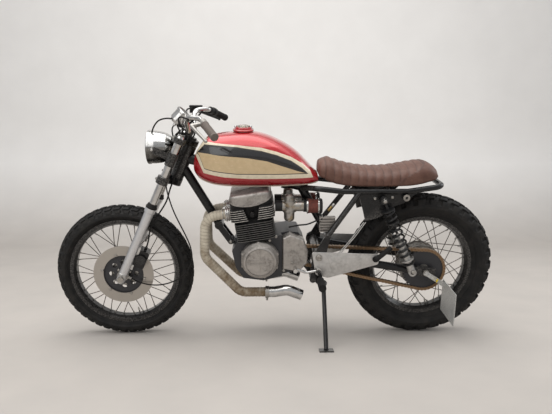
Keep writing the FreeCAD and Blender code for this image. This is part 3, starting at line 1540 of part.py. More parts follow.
TANK_SHARES = (
    (0.0, 0.42, 0.66, 0.3),
    (0.03, 0.2, 0.8, 0.5),
    (0.1, 0.08, 0.9, 0.7),
    (0.22, 0.02, 0.96, 0.93),
    (0.4, 0.0, 1.0, 1.0),
    (0.55, 0.0, 0.965, 1.0),
    (0.7, 0.005, 0.83, 0.95),
    (0.84, 0.02, 0.62, 0.84),
    (0.95, 0.05, 0.36, 0.7),
    (1.0, 0.08, 0.24, 0.58),
)
SEAT_SHARES = (
    (0.0, 0.3, 0.86, 0.62),
    (0.06, 0.17, 0.99, 0.78),
    (0.13, 0.07, 0.91, 0.88),
    (0.22, 0.015, 0.79, 0.94),
    (0.4, 0.0, 0.66, 1.0),
    (0.6, 0.0, 0.68, 1.0),
    (0.78, 0.04, 0.82, 0.97),
    (0.9, 0.13, 0.84, 0.86),
    (0.97, 0.2, 0.64, 0.66),
    (1.0, 0.26, 0.42, 0.5),
)
SectionForm = namedtuple("SectionForm", "belt_share upper_power lower_power steps")
TANK_FORM = SectionForm(0.45, 2.6, 3.2, 20)
SEAT_FORM = SectionForm(0.3, 2.6, 7.0, 24)


def tank():
    body = lofted(size("tank_front_x"), size("tank_length"), size("tank_base"), size("tank_height"),
                  size("tank_half_width"), TANK_SHARES, TANK_FORM)
    start, end = backbone_line()
    along = (end - start).normalize()
    radius = size("backbone_radius + tunnel_gap")
    length = (end - start).Length * size("tunnel_length_share")
    arch = Part.makeCylinder(radius, length, start - along * radius, along)
    trench = Part.makeBox(length, 2 * radius, size("tank_height"),
                          Vector(-radius, -radius, size("-tank_height")))
    trench.Placement = Placement(start, Rotation(Vector(1, 0, 0), along)).multiply(trench.Placement)
    recess = Part.makeCylinder(size("steering_clear_radius"), size("head_tube_end"),
                               head_point(size("head_tube_start / 2")),
                               FORK.Rotation.multVec(Vector(0, 0, 1)))
    neck = Part.makeCylinder(size("cap_radius * cap_neck_share"), size("cap_height"),
                             Vector(size("cap_x"), 0, size("cap_base - cap_height")))
    body = body.cut(arch.fuse(trench)).cut(recess).fuse(neck)
    name_piece(shape_piece("tank_body", body), "fuel_tank")


CAP_SHARES = ((1, 0.35), (0.8, 0.5), (0.75, 0.8), (0.5, 1))


def fuel_cap():
    crown = [(f"cap_radius * {out}", f"cap_height * {up}") for out, up in CAP_SHARES]
    cap = lathe("cap_turned", [("0", "0"), ("cap_radius", "0")] + crown + [("0", "cap_height")], "XZ_Plane")
    name_piece(cap, "fuel_cap", Placement(Vector(size("cap_x"), 0, size("cap_base + seat_gap")), Rotation()))


def seat():
    body = lofted(size("tank_front_x + tank_length + seat_tank_gap"), size("seat_length"),
                  size("rail_height + seat_rise"), size("seat_height"), size("seat_half_width"),
                  SEAT_SHARES, SEAT_FORM)
    name_piece(shape_piece("seat_cushion", body), "seat")


# Engine

CRANKCASE_SHARES = (
    (-1.5, 0.35), (-1.3, -0.6), (-0.9, -1.2), (0.2, -1.35), (1.2, -1.1),
    (1.2, 1.2), (0.9, 1.35), (0.6, 1.25), (-1.2, 0.85),
)
GEARBOX_SHARES = (
    (0.6, -1.3), (1.9, -1.0), (2.4, -0.4), (2.45, 0.6), (2.1, 1.25), (0.6, 1.4),
)


def outline_slab(shares, unit, low, high):
    """A block across the machine from y low to y high, its outline in shares about the crank."""
    centre_x, centre_z = size("crank_x"), size("crank_height")
    points = [Vector(centre_x + across * unit, low, centre_z + up * unit) for across, up in shares]
    return Part.Face(Part.makePolygon(points + points[:1])).extrude(Vector(0, high - low, 0))


def crankcase():
    unit = size("alternator_radius")
    half = size("crankcase_half_width")
    front = outline_slab(CRANKCASE_SHARES, unit, -half, half)
    rear = outline_slab(GEARBOX_SHARES, unit, -size("gearbox_left_reach"), half)
    top_half = size("cylinder_core_half_width * crankcase_top_share")
    top = Part.makeBox(size("2 * cylinder_core_half_length"), 2 * top_half, size("cylinder_base"),
                       Vector(size("-cylinder_core_half_length"), -top_half, 0))
    top.Placement = CYLINDERS.multiply(top.Placement)
    lug_half = size("engine_lug_half_width")
    lugs = []
    for x_name, z_name in (("front_lug_x", "front_lug_height"), ("rear_lug_x", "rear_lug_height")):
        lug = Part.makeCylinder(size("engine_lug_radius"), 2 * lug_half,
                                Vector(size(x_name), -lug_half, size(z_name)), Vector(0, 1, 0))
        neck = Part.makeBox(size("3 * engine_lug_radius"), 2 * lug_half, size("engine_lug_radius"),
                            Vector(0, -lug_half, size("-engine_lug_radius / 2")))
        inward = Vector(size("crank_x"), 0, size("crank_height")) - Vector(size(x_name), 0, size(z_name))
        neck.Placement = Placement(Vector(size(x_name), 0, size(z_name)),
                                   Rotation(Vector(1, 0, 0), inward)).multiply(neck.Placement)
        lugs.extend([lug, neck])
    case = front.multiFuse([rear, top] + lugs)
    above = Part.makeBox(size("4 * fin_half_length"), size("4 * fin_half_width"), size("cylinder_length"),
                         Vector(size("-2 * fin_half_length"), size("-2 * fin_half_width"),
                                size("cylinder_base")))
    above.Placement = CYLINDERS.multiply(above.Placement)
    name_piece(shape_piece("crankcase_cast", case.cut(above).removeSplitter()), "crankcase")


def rounded_plate(half_length, half_width, corner, low, wall):
    """A level plate with rounded corners, such as a fin."""
    plate = Part.makeBox(2 * half_length, 2 * half_width, wall, Vector(-half_length, -half_width, low))
    upright = [edge for edge in plate.Edges if edge.BoundBox.ZLength > wall / 2 > edge.BoundBox.XLength
               and edge.BoundBox.YLength < wall / 2]
    return plate.makeFillet(corner, upright)


def fin_stack(count, half_length, low):
    """Level fins of one size, one pitch apart."""
    fins = []
    for index in range(count):
        height = low + size("fin_first_gap") + index * size("fin_pitch")
        fins.append(rounded_plate(half_length, size("fin_half_width"), size("fin_corner"),
                                  height, size("fin_wall")))
    return fins


def cylinders():
    """Two cylinders cast as one finned block."""
    base = size("cylinder_base + seat_gap")
    half_length, half_width = size("cylinder_core_half_length"), size("cylinder_core_half_width")
    core = rounded_plate(half_length, half_width, size("fin_corner"), base, size("cylinder_length"))
    fins = fin_stack(int(size("cylinder_fin_count")), size("cylinder_fin_half_length"), base)
    whole = core.multiFuse(fins).removeSplitter()
    name_piece(shape_piece("cylinder_fins", whole), "cylinder_block", CYLINDERS)


def head_base():
    return size("cylinder_base + cylinder_length + 2 * seat_gap")


def plug_pocket(sign):
    """The wedge left open round each spark plug, narrow below and wide at the cover."""
    low, high = head_base() + size("fin_wall"), head_base() + 2 * size("head_length")
    foot, rim = size("plug_pocket_foot_half_length"), size("plug_pocket_half_length")
    slope = (rim - foot) / size("head_length")
    top = foot + slope * (high - low)
    outline = [Vector(-foot, 0, low), Vector(foot, 0, low), Vector(top, 0, high), Vector(-top, 0, high)]
    inner = size("fin_half_width - plug_pocket_depth")
    wedge = Part.Face(Part.makePolygon(outline + outline[:1])).extrude(Vector(0, sign * 2 * inner, 0))
    wedge.translate(Vector(0, sign * inner, 0))
    return wedge


def saddle(gap):
    """The round on which the cover sits, as a cylinder across the head."""
    radius = size("head_cover_saddle_radius")
    half = 2 * size("fin_half_width")
    centre = head_base() + size("head_length") + radius
    return Part.makeCylinder(radius + gap, 2 * half, Vector(0, -half, centre), Vector(0, 1, 0))


def cylinder_head():
    """The finned head, saddled for its cover, with a pocket for each outer plug."""
    radius = size("head_cover_saddle_radius")
    half_length = size("head_cover_half_length")
    rise = radius - math.sqrt(radius ** 2 - half_length ** 2)
    core = rounded_plate(half_length, size("head_core_half_width"), size("head_cover_corner"),
                         head_base(), size("head_length") + rise)
    fins = fin_stack(int(size("head_fin_count")), size("fin_half_length"), head_base())
    whole = core.multiFuse(fins)
    for sign in (-1, 1):
        whole = whole.cut(plug_pocket(sign))
    ports = []
    for sign in (-1, 1):
        base = Vector(0, sign * size("exhaust_port_reach"), head_base() + size("head_length / 2"))
        ports.append(Part.makeCylinder(size("exhaust_radius + port_wall"),
                                       size("fin_half_length + port_boss_length"), base, Vector(-1, 0, 0)))
        inlet = Vector(0, sign * size("carb_half_spread"), base.z)
        ports.append(Part.makeCylinder(size("carb_radius + intake_wall"),
                                       size("fin_half_length + intake_boss_reach"), inlet, Vector(1, 0, 0)))
        plug_seat = Vector(0, sign * size("fin_half_width - plug_pocket_depth - overrun"), base.z)
        ports.append(Part.makeCylinder(size("plug_radius"), size("plug_reach"),
                                       plug_seat, Vector(0, sign, 0)))
    whole = whole.multiFuse(ports).cut(saddle(0.0))
    name_piece(shape_piece("head_cast", whole.removeSplitter()), "cylinder_head", CYLINDERS)


def head_cover():
    """The cast lid of the head: a rounded box on the saddle, with a flange and ribs on both ends."""
    base = head_base() + size("head_length")
    half_length, half_width = size("head_cover_half_length"), size("head_cover_half_width")
    corner, height = size("head_cover_corner"), size("head_cover_height")
    block = rounded_plate(half_length, half_width, corner, base, height)
    crown = [edge for edge in block.Edges if edge.BoundBox.ZMin > base + height / 2]
    block = block.makeFillet(corner / 2, crown)
    lip = size("head_cover_flange_lip")
    flange = rounded_plate(half_length + lip, half_width + lip, corner + lip, base, height)
    flange = flange.cut(saddle_inside())
    ribs = []
    rise, wall = size("head_cover_rib_rise"), size("head_cover_rib_wall")
    count = int(size("head_cover_rib_count"))
    for index in range(count):
        along = (index - (count - 1) / 2) * size("head_cover_rib_pitch")
        ribs.append(Part.makeBox(wall, 2 * (half_width + rise), height - corner / 2,
                                 Vector(along - wall / 2, -half_width - rise, base)))
    seated = block.multiFuse([flange] + ribs).common(saddle(size("-seat_gap")))
    name_piece(shape_piece("cover_cast", seated.removeSplitter()), "head_cover", CYLINDERS)


def saddle_inside():
    """What lies above the cover's flange."""
    radius = size("head_cover_saddle_radius - head_cover_flange_wall - seat_gap")
    half = 2 * size("fin_half_width")
    centre = head_base() + size("head_length + head_cover_saddle_radius")
    return Part.makeCylinder(radius, 2 * half, Vector(0, -half, centre), Vector(0, 1, 0))


def alternator_cover():
    """A round lid with a grooved face, a double rib across it and single ribs up and down."""
    face = "-(alternator_reach - alternator_face_depth)"
    cover = lathe("alternator_turned", [
        ("0", "-(crankcase_half_width + seat_gap)"),
        ("0", face),
        ("alternator_face_radius - alternator_groove_width", face),
        ("alternator_face_radius - alternator_groove_width", "-(alternator_reach - alternator_groove_depth)"),
        ("alternator_face_radius", "-(alternator_reach - alternator_groove_depth)"),
        ("alternator_face_radius", "-alternator_reach"),
        ("alternator_crown_radius", "-(alternator_reach - alternator_crown_depth)"),
        ("alternator_radius", "-(alternator_reach - alternator_edge_depth)"),
        ("alternator_radius", "-(crankcase_half_width + seat_gap)"),
    ])
    inner = "alternator_face_radius - alternator_groove_width"
    rib_face = size("alternator_reach - alternator_face_depth + alternator_rib_rise")
    offset = size("alternator_rib_offset")
    chord = f"sqrt(({inner}) ^ 2 - (alternator_rib_offset + alternator_rib_wall) ^ 2)"
    across = Vector(0, size("alternator_rib_rise / 2") - rib_face, 0)
    post_length = size(inner) - offset
    ribs = [cover]
    for sign in (-1, 1):
        bar = box(f"alternator_bar_{sign + 1}", f"2 * {chord}", "alternator_rib_rise",
                  "alternator_rib_wall", across + Vector(0, 0, sign * offset))
        post = box(f"alternator_post_{sign + 1}", "alternator_rib_wall", "alternator_rib_rise",
                   f"{inner} - alternator_rib_offset",
                   across + Vector(0, 0, sign * (offset + post_length / 2)))
        ribs.extend([bar, post])
    name_piece(fused("alternator_ribbed", ribs), "alternator_cover",
               Placement(Vector(size("crank_x"), 0, size("crank_height")), Rotation()))


def clutch_cover():
    cover = lathe("clutch_turned", [
        ("0", "crankcase_half_width + seat_gap"),
        ("clutch_radius", "crankcase_half_width + seat_gap"),
        ("clutch_radius", "clutch_reach - clutch_edge_depth"),
        ("clutch_radius - clutch_edge_width", "clutch_reach - clutch_crown_depth"),
        ("clutch_radius * clutch_ring_share", "clutch_reach - clutch_step_depth"),
        ("clutch_radius * clutch_lid_share", "clutch_reach"),
        ("0", "clutch_reach"),
    ])
    name_piece(cover, "clutch_cover",
               Placement(Vector(size("clutch_x"), 0, size("clutch_height")), Rotation()))


SPROCKET_COVER_SHARES = (
    (1.23, -0.62), (2.1, -0.78), (2.55, -0.3), (2.6, 0.35), (2.35, 1.0), (1.6, 1.3), (1.23, 1.1),
)


def sprocket_cover():
    """A lid over the front sprocket, walled all round but for the chain's way out."""
    unit = size("alternator_radius")
    outer_face = -size("sprocket_cover_reach + sprocket_cover_wall")
    inner_face = -size("gearbox_left_reach + seat_gap")
    lid = outline_slab(SPROCKET_COVER_SHARES, unit, outer_face, inner_face)
    outer_edges = [edge for edge in lid.Edges if edge.BoundBox.YMax < outer_face / 2 + inner_face / 2]
    lid = lid.makeChamfer(size("sprocket_cover_bevel"), outer_edges)
    wall = size("sprocket_cover_skin")
    level = [face for face in lid.Faces if face.BoundBox.YLength < wall]
    floor = [face for face in level if face.BoundBox.YMax > outer_face + wall][0]
    cavity = Part.Face(floor.OuterWire.makeOffset2D(-wall))
    cavity = cavity.extrude(Vector(0, -size("sprocket_cover_hollow"), 0))
    way_out = Part.makeBox(4 * unit, size("sprocket_cover_hollow"), size("sprocket_cover_way"),
                           Vector(size("front_sprocket_x"), inner_face - size("sprocket_cover_hollow"),
                                  size("front_sprocket_height - sprocket_cover_way / 2")))
    name_piece(shape_piece("sprocket_cover_cast", lid.cut(cavity).cut(way_out)), "sprocket_cover")


def carburettors():
    """Each carburettor stands across its own barrel, with a capped slide above and a bowl below."""
    sign = -1
    start = Vector(size("carb_front_x + seat_gap"), sign * size("carb_half_spread"), size("carb_height"))
    barrel = cylinder("carb_barrel", "carb_radius", "carb_length", start, Vector(1, 0, 0))
    tower = lathe("carb_tower", [
        ("0", "-(carb_bowl_depth + carb_drain_length)"),
        ("carb_drain_radius", "-(carb_bowl_depth + carb_drain_length)"),
        ("carb_drain_radius", "-carb_bowl_depth"),
        ("carb_bowl_radius * carb_bowl_share", "-carb_bowl_depth"),
        ("carb_bowl_radius", "-carb_bowl_depth * carb_bowl_share"),
        ("carb_bowl_radius", "-(carb_flange_rise + carb_flange_wall)"),
        ("carb_flange_radius", "-(carb_flange_rise + carb_flange_wall)"),
        ("carb_flange_radius", "-carb_flange_rise"),
        ("carb_body_radius", "-carb_flange_rise"),
        ("carb_body_radius", "carb_flange_rise"),
        ("carb_flange_radius", "carb_flange_rise"),
        ("carb_flange_radius", "carb_flange_rise + carb_flange_wall"),
        ("carb_cap_radius", "carb_flange_rise + carb_flange_wall"),
        ("carb_cap_radius * carb_cap_share", "carb_cap_height * carb_bowl_share"),
        ("carb_cap_radius / 2", "carb_cap_height"),
        ("0", "carb_cap_height"),
    ], "XZ_Plane")
    tower.Placement = Placement(start + Vector(size("carb_length / 2"), 0, 0), Rotation())
    name_piece(pair("carb_pair", fused("carb", [barrel, tower])), "carburettors")
    pod = lathe("filter_pod", [
        ("0", "0"),
        ("filter_neck_radius", "0"),
        ("filter_neck_radius", "filter_neck_length"),
        ("filter_ring_radius", "filter_neck_length"),
        ("filter_ring_radius", "filter_neck_length + filter_ring_wall"),
        ("filter_radius", "filter_neck_length + filter_ring_wall"),
        ("filter_tip_radius", "filter_length - filter_cap_wall - filter_ring_wall"),
        ("filter_ring_radius", "filter_length - filter_cap_wall - filter_ring_wall"),
        ("filter_ring_radius", "filter_length - filter_ring_wall"),
        ("filter_tip_radius", "filter_length"),
        ("0", "filter_length"),
    ], "XZ_Plane")
    pod.Placement = Placement(start + Vector(size("carb_length + seat_gap"), 0, 0),
                              Rotation(Vector(0, 0, 1), Vector(1, 0, 0)))
    name_piece(pair("filter_pair", pod), "air_filters")


def port_collar(port, forward):
    """The finned collar round the pipe at its port, with the two studs that hold it."""
    pieces = []
    for index in range(int(size("exhaust_collar_count"))):
        pieces.append(Part.makeCylinder(size("exhaust_collar_radius"), size("exhaust_collar_wall"),
                                        port + forward * (index * size("exhaust_collar_pitch")), forward))
    upwards = forward.cross(Vector(0, 1, 0)).normalize()
    for sign in (-1, 1):
        pieces.append(Part.makeCylinder(size("exhaust_stud_radius"), size("exhaust_stud_length"),
                                        port + upwards * size("exhaust_stud_offset") * sign, forward))
    return pieces


def joint_clamp(joint):
    """The band that closes the pipe's end, with its bolt lug below."""
    length = size("exhaust_clamp_length")
    thick = length / 2
    band = Part.makeCylinder(size("exhaust_clamp_radius"), length,
                             joint - Vector(length, 0, 0), Vector(1, 0, 0))
    drop = size("exhaust_clamp_radius + exhaust_clamp_lug")
    lug = Part.makeBox(thick, thick, drop, joint - Vector((length + thick) / 2, thick / 2, drop))
    return [band, lug]


def exhausts():
    """Each header drops from its port, sweeps under the engine and ends in a turned-down tip."""
    sign = -1
    port = CYLINDERS.multVec(Vector(size("-(fin_half_length + port_boss_length + seat_gap)"),
                                    sign * size("exhaust_port_reach"), head_base() + size("head_length / 2")))
    forward = CYLINDERS.Rotation.multVec(Vector(-1, 0, 0))
    low_y = sign * size("exhaust_low_reach")
    joint = Vector(size("exhaust_joint_x"), low_y, size("exhaust_joint_height"))
    path = [
        port,
        port + forward * size("exhaust_forward"),
        Vector(port.x - size("exhaust_forward"), low_y * size("exhaust_knee_share"),
               size("exhaust_knee_height")),
        Vector(size("exhaust_joint_x - exhaust_low_run"), low_y, joint.z),
        joint,
    ]
    header = tube(path, size("exhaust_radius"), size("exhaust_bend_radius"))
    header = header.multiFuse(port_collar(port, forward) + joint_clamp(joint))
    name_piece(pair("header_pair", shape_piece("header", header)), "exhaust_headers")
    bend = Vector(size("tip_bend_x"), low_y, size("tip_bend_height"))
    end = Vector(size("tip_end_x"), low_y, size("tip_end_height"))
    tip_path = [joint + Vector(size("seat_gap"), 0, 0), joint + Vector(size("tip_radius"), 0, 0), bend, end]
    tip = tube(tip_path, size("tip_radius"), size("tip_bend_radius"))
    inward = (bend - end).normalize()
    mouth = Part.makeCylinder(size("tip_radius - tip_wall"), size("tip_bore_depth + overrun"),
                              end - inward * size("overrun"), inward)
    name_piece(pair("tip_pair", shape_piece("tip", tip.cut(mouth))), "exhaust_tips")


def regulator():
    """The rectifier's casting on the cross tube, finned on its outer face."""
    foot = size("upper_cross_height + cross_radius + seat_gap")
    length, tall = size("regulator_length"), size("regulator_tall")
    back = size("-regulator_side")
    x_start = size("upper_cross_x - regulator_length / 2")
    solids = [Part.makeBox(length, size("regulator_wall"), tall,
                           Vector(x_start, back - size("regulator_wall"), foot))]
    count = int(size("regulator_fin_count"))
    wall = size("regulator_fin_wall")
    depth = size("regulator_wall + regulator_fin_reach")
    for index in range(count):
        height = foot + (tall - wall) * index / (count - 1)
        solids.append(Part.makeBox(length, depth, wall, Vector(x_start, back - depth, height)))
    name_piece(shape_piece("regulator_block", solids[0].multiFuse(solids[1:]).removeSplitter()), "regulator")


# Controls, plate and stand

PEG_PLATE_SHARES = ((-0.12, 0.1), (1.0, 0.06), (1.0, -0.12), (0.16, -0.36), (-0.05, -0.3))


def peg_plates():
    """Alloy plates over the pivot, each with the rider's peg and a folded passenger's peg."""
    length = size("peg_plate_length")
    wall = size("peg_plate_wall")
    inner = size("pivot_plate_reach + pivot_plate_wall + seat_gap")
    points = [Vector(size("pivot_x") + across * length, -inner, size("pivot_height") + up * length)
              for across, up in PEG_PLATE_SHARES]
    plate = Part.Face(Part.makePolygon(points + points[:1])).extrude(Vector(0, -wall, 0))
    name_piece(pair("peg_plate_pair", shape_piece("peg_plate", plate)), "peg_plates")
    outer = inner + wall + size("seat_gap")
    leftwards = Vector(0, -1, 0)
    rod = Part.makeCylinder(size("peg_radius"), size("peg_end - peg_start"),
                            Vector(size("peg_x"), size("-peg_start"), size("peg_height")), leftwards)
    stem = Part.makeCylinder(size("peg_stem_radius"), size("peg_start") - outer,
                             Vector(size("peg_x"), -outer, size("peg_height + peg_radius")), leftwards)
    eye_wall = size("passenger_peg_eye_wall")
    hinge = Vector(size("passenger_peg_x"), -outer, size("passenger_peg_height"))
    eye = Part.makeCylinder(size("passenger_peg_eye_radius"), eye_wall, hinge, leftwards)
    tip = Vector(size("passenger_peg_tip_x"), 0, size("passenger_peg_tip_height"))
    middle = hinge + leftwards * size("passenger_peg_radius + seat_gap")
    tip.y = middle.y
    folded = Part.makeCylinder(size("passenger_peg_radius"), (tip - middle).Length, middle, tip - middle)
    pegs = [shape_piece("peg", rod.fuse(stem)), shape_piece("passenger_peg", folded.fuse(eye))]
    twins = [mirrored(f"{peg.Name}_twin", peg) for peg in pegs]
    name_piece(group("peg_group", pegs + twins), "footpegs")


def foot_levers():
    """The gear lever on the left and the brake pedal on the right, hung on the side plates."""
    leftwards = Vector(0, -1, 0)
    outer = size("pivot_plate_reach + pivot_plate_wall + peg_plate_wall + 2 * seat_gap")
    radius = size("foot_lever_radius")
    boss_length = size("foot_lever_boss_length")
    pivot = Vector(size("foot_lever_x"), -outer, size("foot_lever_height"))
    boss = Part.makeCylinder(size("foot_lever_boss_radius"), boss_length, pivot, leftwards)
    overlap = size("foot_lever_overlap")
    start = pivot + leftwards * (boss_length - overlap)
    elbow = Vector(size("foot_lever_elbow_x"), start.y, start.z - size("foot_lever_drop"))
    toe = Vector(size("foot_lever_toe_x"), start.y, start.z + size("foot_lever_toe_rise"))
    arm = tube([start, elbow, toe], radius, size("foot_lever_bend"))
    rest = Part.makeCylinder(size("foot_lever_toe_radius"), size("foot_lever_toe_length"),
                             toe - leftwards * overlap, leftwards)
    lever = boss.multiFuse([arm, rest]).removeSplitter()
    name_piece(pair("foot_lever_pair", shape_piece("foot_lever", lever)), "foot_levers")


# Cords, drawn along the fork like the steering, because both turn with it

BRAKE_HOSE_ROUTE = (
    (47.2, -65.1, 171.5), (44, -67, 205), (32, -76, 252), (32, -77, 308), (44, -72, 362), (50, -64, 412),
    (42, -62, 462), (40, -62.5, 520), (41, -61.5, 580), (40, -62.5, 640), (42, -61, 694), (48, -54, 736),
    (36, -24, 766), (8, 14, 776), (-18, 56, 784), (-36, 104, 789), (-40, 150, 794), (-32, 184, 798.5),
    (-23.75, 206.1, 800.5),
)
SPEEDO_CABLE_ROUTE = (
    (40.3, -66.2, 0), (76, -67, -3), (124, -74, 6), (172, -80, 28), (216, -84, 64), (250, -86, 112),
    (264, -86, 164), (257, -84, 216), (228, -82, 262), (184, -79, 304), (140, -74, 340), (98, -68, 376),
    (62, -56, 412), (34, -50, 446), (20, -48, 468), (18, -48, 486.5),
)
SPEEDO_CABLE_HEAD_ROUTE = (
    (8, -54, 509.5), (8, -54, 540), (7, -53, 585), (3, -52, 625), (-12, -50, 655), (-32, -48, 682),
    (-47, -48, 704), (-52.5, -48, 718), (-51.3, -48, 731.6),
)


def cord(name, route, radius_name):
    """A round cord along its route, with every bend as wide as its two runs allow."""
    points = [Vector(*place) for place in route]
    edges = []
    radii = []
    start = points[0]
    for before, corner, after in zip(points, points[1:], points[2:]):
        inward = (before - corner).normalize()
        outward = (after - corner).normalize()
        turn = math.pi - inward.getAngle(outward)
        shorter = min((before - corner).Length, (after - corner).Length)
        reach = size("cord_bend_share") * shorter
        radii.append(reach / math.tan(turn / 2))
        entry = corner + inward * reach
        leave = corner + outward * reach
        bisector = (inward + outward).normalize()
        middle = corner + bisector * (radii[-1] / math.cos(turn / 2) - radii[-1])
        edges.append(Part.LineSegment(start, entry).toShape())
        edges.append(Part.Arc(entry, middle, leave).toShape())
        start = leave
    edges.append(Part.LineSegment(start, points[-1]).toShape())
    path = Part.Wire(edges)
    radius = size(radius_name)
    ring = Part.Wire(Part.makeCircle(radius, points[0], points[1] - points[0]))
    solid = path.makePipeShell([ring], True, True)
    share = solid.Volume / (math.pi * radius ** 2 * path.Length)
    print(f"{name} length {path.Length:.1f}, volume share {share:.4f}, bend radii",
          [round(bend) for bend in radii])
    return shape_piece(name, solid)


def cords():
    hose = cord("brake_hose_run", BRAKE_HOSE_ROUTE, "brake_hose_radius")
    name_piece(hose, "brake_hose", FORK)
    runs = [cord("speedo_cable_run", SPEEDO_CABLE_ROUTE, "speedo_cable_radius"),
            cord("speedo_cable_head", SPEEDO_CABLE_HEAD_ROUTE, "speedo_cable_radius")]
    name_piece(group("speedo_cable_runs", runs), "speedo_cable", FORK)


def stand_pivot():
    return Vector(size("stand_pivot_x"), size("-stand_pivot_reach"), size("stand_pivot_height"))


def stand_foot():
    """Where the foot meets the ground, on the upright machine."""
    reach = size("stand_foot_reach")
    return Vector(size("stand_foot_x"), -reach, reach * math.tan(math.radians(size("lean_angle"))))


def stand_axis():
    """Square to the leg as it stands and as it lies folded back under the seat rails."""
    folded = Vector(1, size("-stand_fold_out_share"), size("stand_fold_up_share"))
    return (stand_foot() - stand_pivot()).cross(folded).normalize()


def stand_lug():
    """A flat bar from the lower cross tube to the stand's pivot, with the pivot bolt."""
    pivot, axis = stand_pivot(), stand_axis()
    half = size("stand_eye_width / 2")
    wall = size("stand_lug_wall")
    seat_point = pivot - axis * (half + size("seat_gap") + wall)
    cross = Vector(size("lower_cross_x"), 0, size("lower_cross_height"))
    reach = (cross - seat_point).dot(axis) / axis.y
    landing = cross - Vector(0, reach, 0)
    width = size("2 * stand_pivot_radius")
    length = (landing - seat_point).Length
    bar = Part.makeBox(length, width, wall, Vector(0, -width / 2, 0))
    across = axis.cross(landing - seat_point)
    turn = Rotation(landing - seat_point, across, axis, "XZY")
    bar.Placement = Placement(seat_point, turn).multiply(bar.Placement)
    disc = Part.makeCylinder(width / 2, wall, seat_point, axis)
    bolt_length = wall + 2 * half + size("3 * seat_gap + stand_bolt_head")
    bolt = Part.makeCylinder(size("stand_bolt_radius"), bolt_length, seat_point, axis)
    head = Part.makeCylinder(size("stand_bolt_head_radius"), size("stand_bolt_head"),
                             pivot + axis * (half + size("2 * seat_gap")), axis)
    return [bar, disc, bolt, head]


def side_stand():
    """A round leg from its pivot lug to a flat foot on the ground."""
    pivot, foot, axis = stand_pivot(), stand_foot(), stand_axis()
    level = Rotation(Vector(1, 0, 0), size("-lean_angle"))
    up = level.multVec(Vector(0, 0, 1))
    ankle = foot + up * size("stand_foot_wall")
    leg = Part.makeCylinder(size("stand_radius"), (ankle - pivot).Length, pivot, ankle - pivot)
    half = size("stand_eye_width / 2")
    eye = Part.makeCylinder(size("stand_pivot_radius"), 2 * half, pivot - axis * half, axis)
    bore = Part.makeCylinder(size("stand_bolt_radius + fit_gap / 2"), 4 * half, pivot - axis * 2 * half, axis)
    pad = Part.makeBox(size("stand_foot_length"), size("stand_foot_width"), size("stand_foot_wall"),
                       Vector(size("-stand_foot_length / 2"), size("-stand_foot_width / 2"), 0))
    pad.Placement = Placement(foot, level).multiply(pad.Placement)
    ground = Part.makeBox(size("wheelbase"), size("wheelbase"), size("wheelbase"),
                          Vector(size("-wheelbase / 2"), size("-wheelbase / 2"), size("-wheelbase")))
    ground.Placement = Placement(Vector(), level)
    stand = leg.multiFuse([eye, pad]).cut(ground).cut(bore)
    name_piece(shape_piece("stand_leg", stand), "side_stand")


def number_plate():
    plate = box("plate_blank", "number_plate_wall", "number_plate_width", "number_plate_height",
                Vector(size("number_plate_x"), size("-number_plate_reach"),
                       size("number_plate_centre_height")))
    reach = size("-(swingarm_half_spread + swingarm_end_wall / 2 + axle_nut_length + 2 * seat_gap "
                 "+ plate_arm_wall / 2)")
    start = Vector(REAR_WHEEL.Base.x, reach, REAR_WHEEL.Base.z)
    end = Vector(size("number_plate_x"), reach,
                 size("number_plate_centre_height + number_plate_height / 2 - plate_arm_height"))
    arm = box("plate_arm", "plate_arm_length", "plate_arm_wall", "plate_arm_height",
              (start + end) / 2, Rotation(Vector(1, 0, 0), end - start))
    name_piece(fused("plate_whole", [plate, arm]), "number_plate")


def build():
    tyre("front_tyre", "front_seat_radius", "front_tyre_radius", "front_tyre_half_width",
         "rim_half_width", FRONT_WHEEL)
    rim("front_rim", "front_seat_radius", "rim_half_width", FRONT_WHEEL)
    front_hub()
    brake_disc()
    tyre("rear_tyre", "rear_seat_radius", "rear_tyre_radius", "rear_tyre_half_width",
         "rear_rim_half_width", REAR_WHEEL)
    rim("rear_rim", "rear_seat_radius", "rear_rim_half_width", REAR_WHEEL)
    rear_hub()
    rear_sprocket()
    drive_chain()
    fork_sliders()
    fork_stanchions()
    lower_yoke()
    upper_yoke()
    handlebar()
    grips()
    lever_set("clutch_perch", "clutch_lever", -1, False)
    lever_set("brake_master", "brake_lever", 1, True)
    headlamp()
    headlamp_ears()
    speedometer()
    front_axle()
    brake_caliper()
    seat_rails(frame())
    swingarm()
    rear_axle()
    shocks()
    tank()
    fuel_cap()
    seat()
    crankcase()
    cylinders()
    cylinder_head()
    head_cover()
    alternator_cover()
    clutch_cover()
    sprocket_cover()
    carburettors()
    exhausts()
    regulator()
    peg_plates()
    foot_levers()
    side_stand()
    number_plate()
    cords()


def check_and_export():
    DOC.recompute()
    for thing in DOC.Objects:
        if "Invalid" in thing.State or "Error" in thing.State:
            raise RuntimeError(f"{thing.Name} failed: {thing.State}")
    os.makedirs("parts", exist_ok=True)
    for piece in PIECES:
        if piece.Shape.isNull() or not piece.Shape.isValid():
            raise RuntimeError(f"{piece.Label} is not a valid solid")
        piece.Shape.exportStep(f"parts/{piece.Label}.step")
        print(piece.Label, len(piece.Shape.Solids), round(piece.Shape.Volume))


build()
check_and_export()
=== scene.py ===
"""The looks of a cafe racer motorcycle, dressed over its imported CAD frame."""
import json
import math
from collections import namedtuple

import bmesh
import bpy
import numpy as np
from mathutils import Matrix, Vector

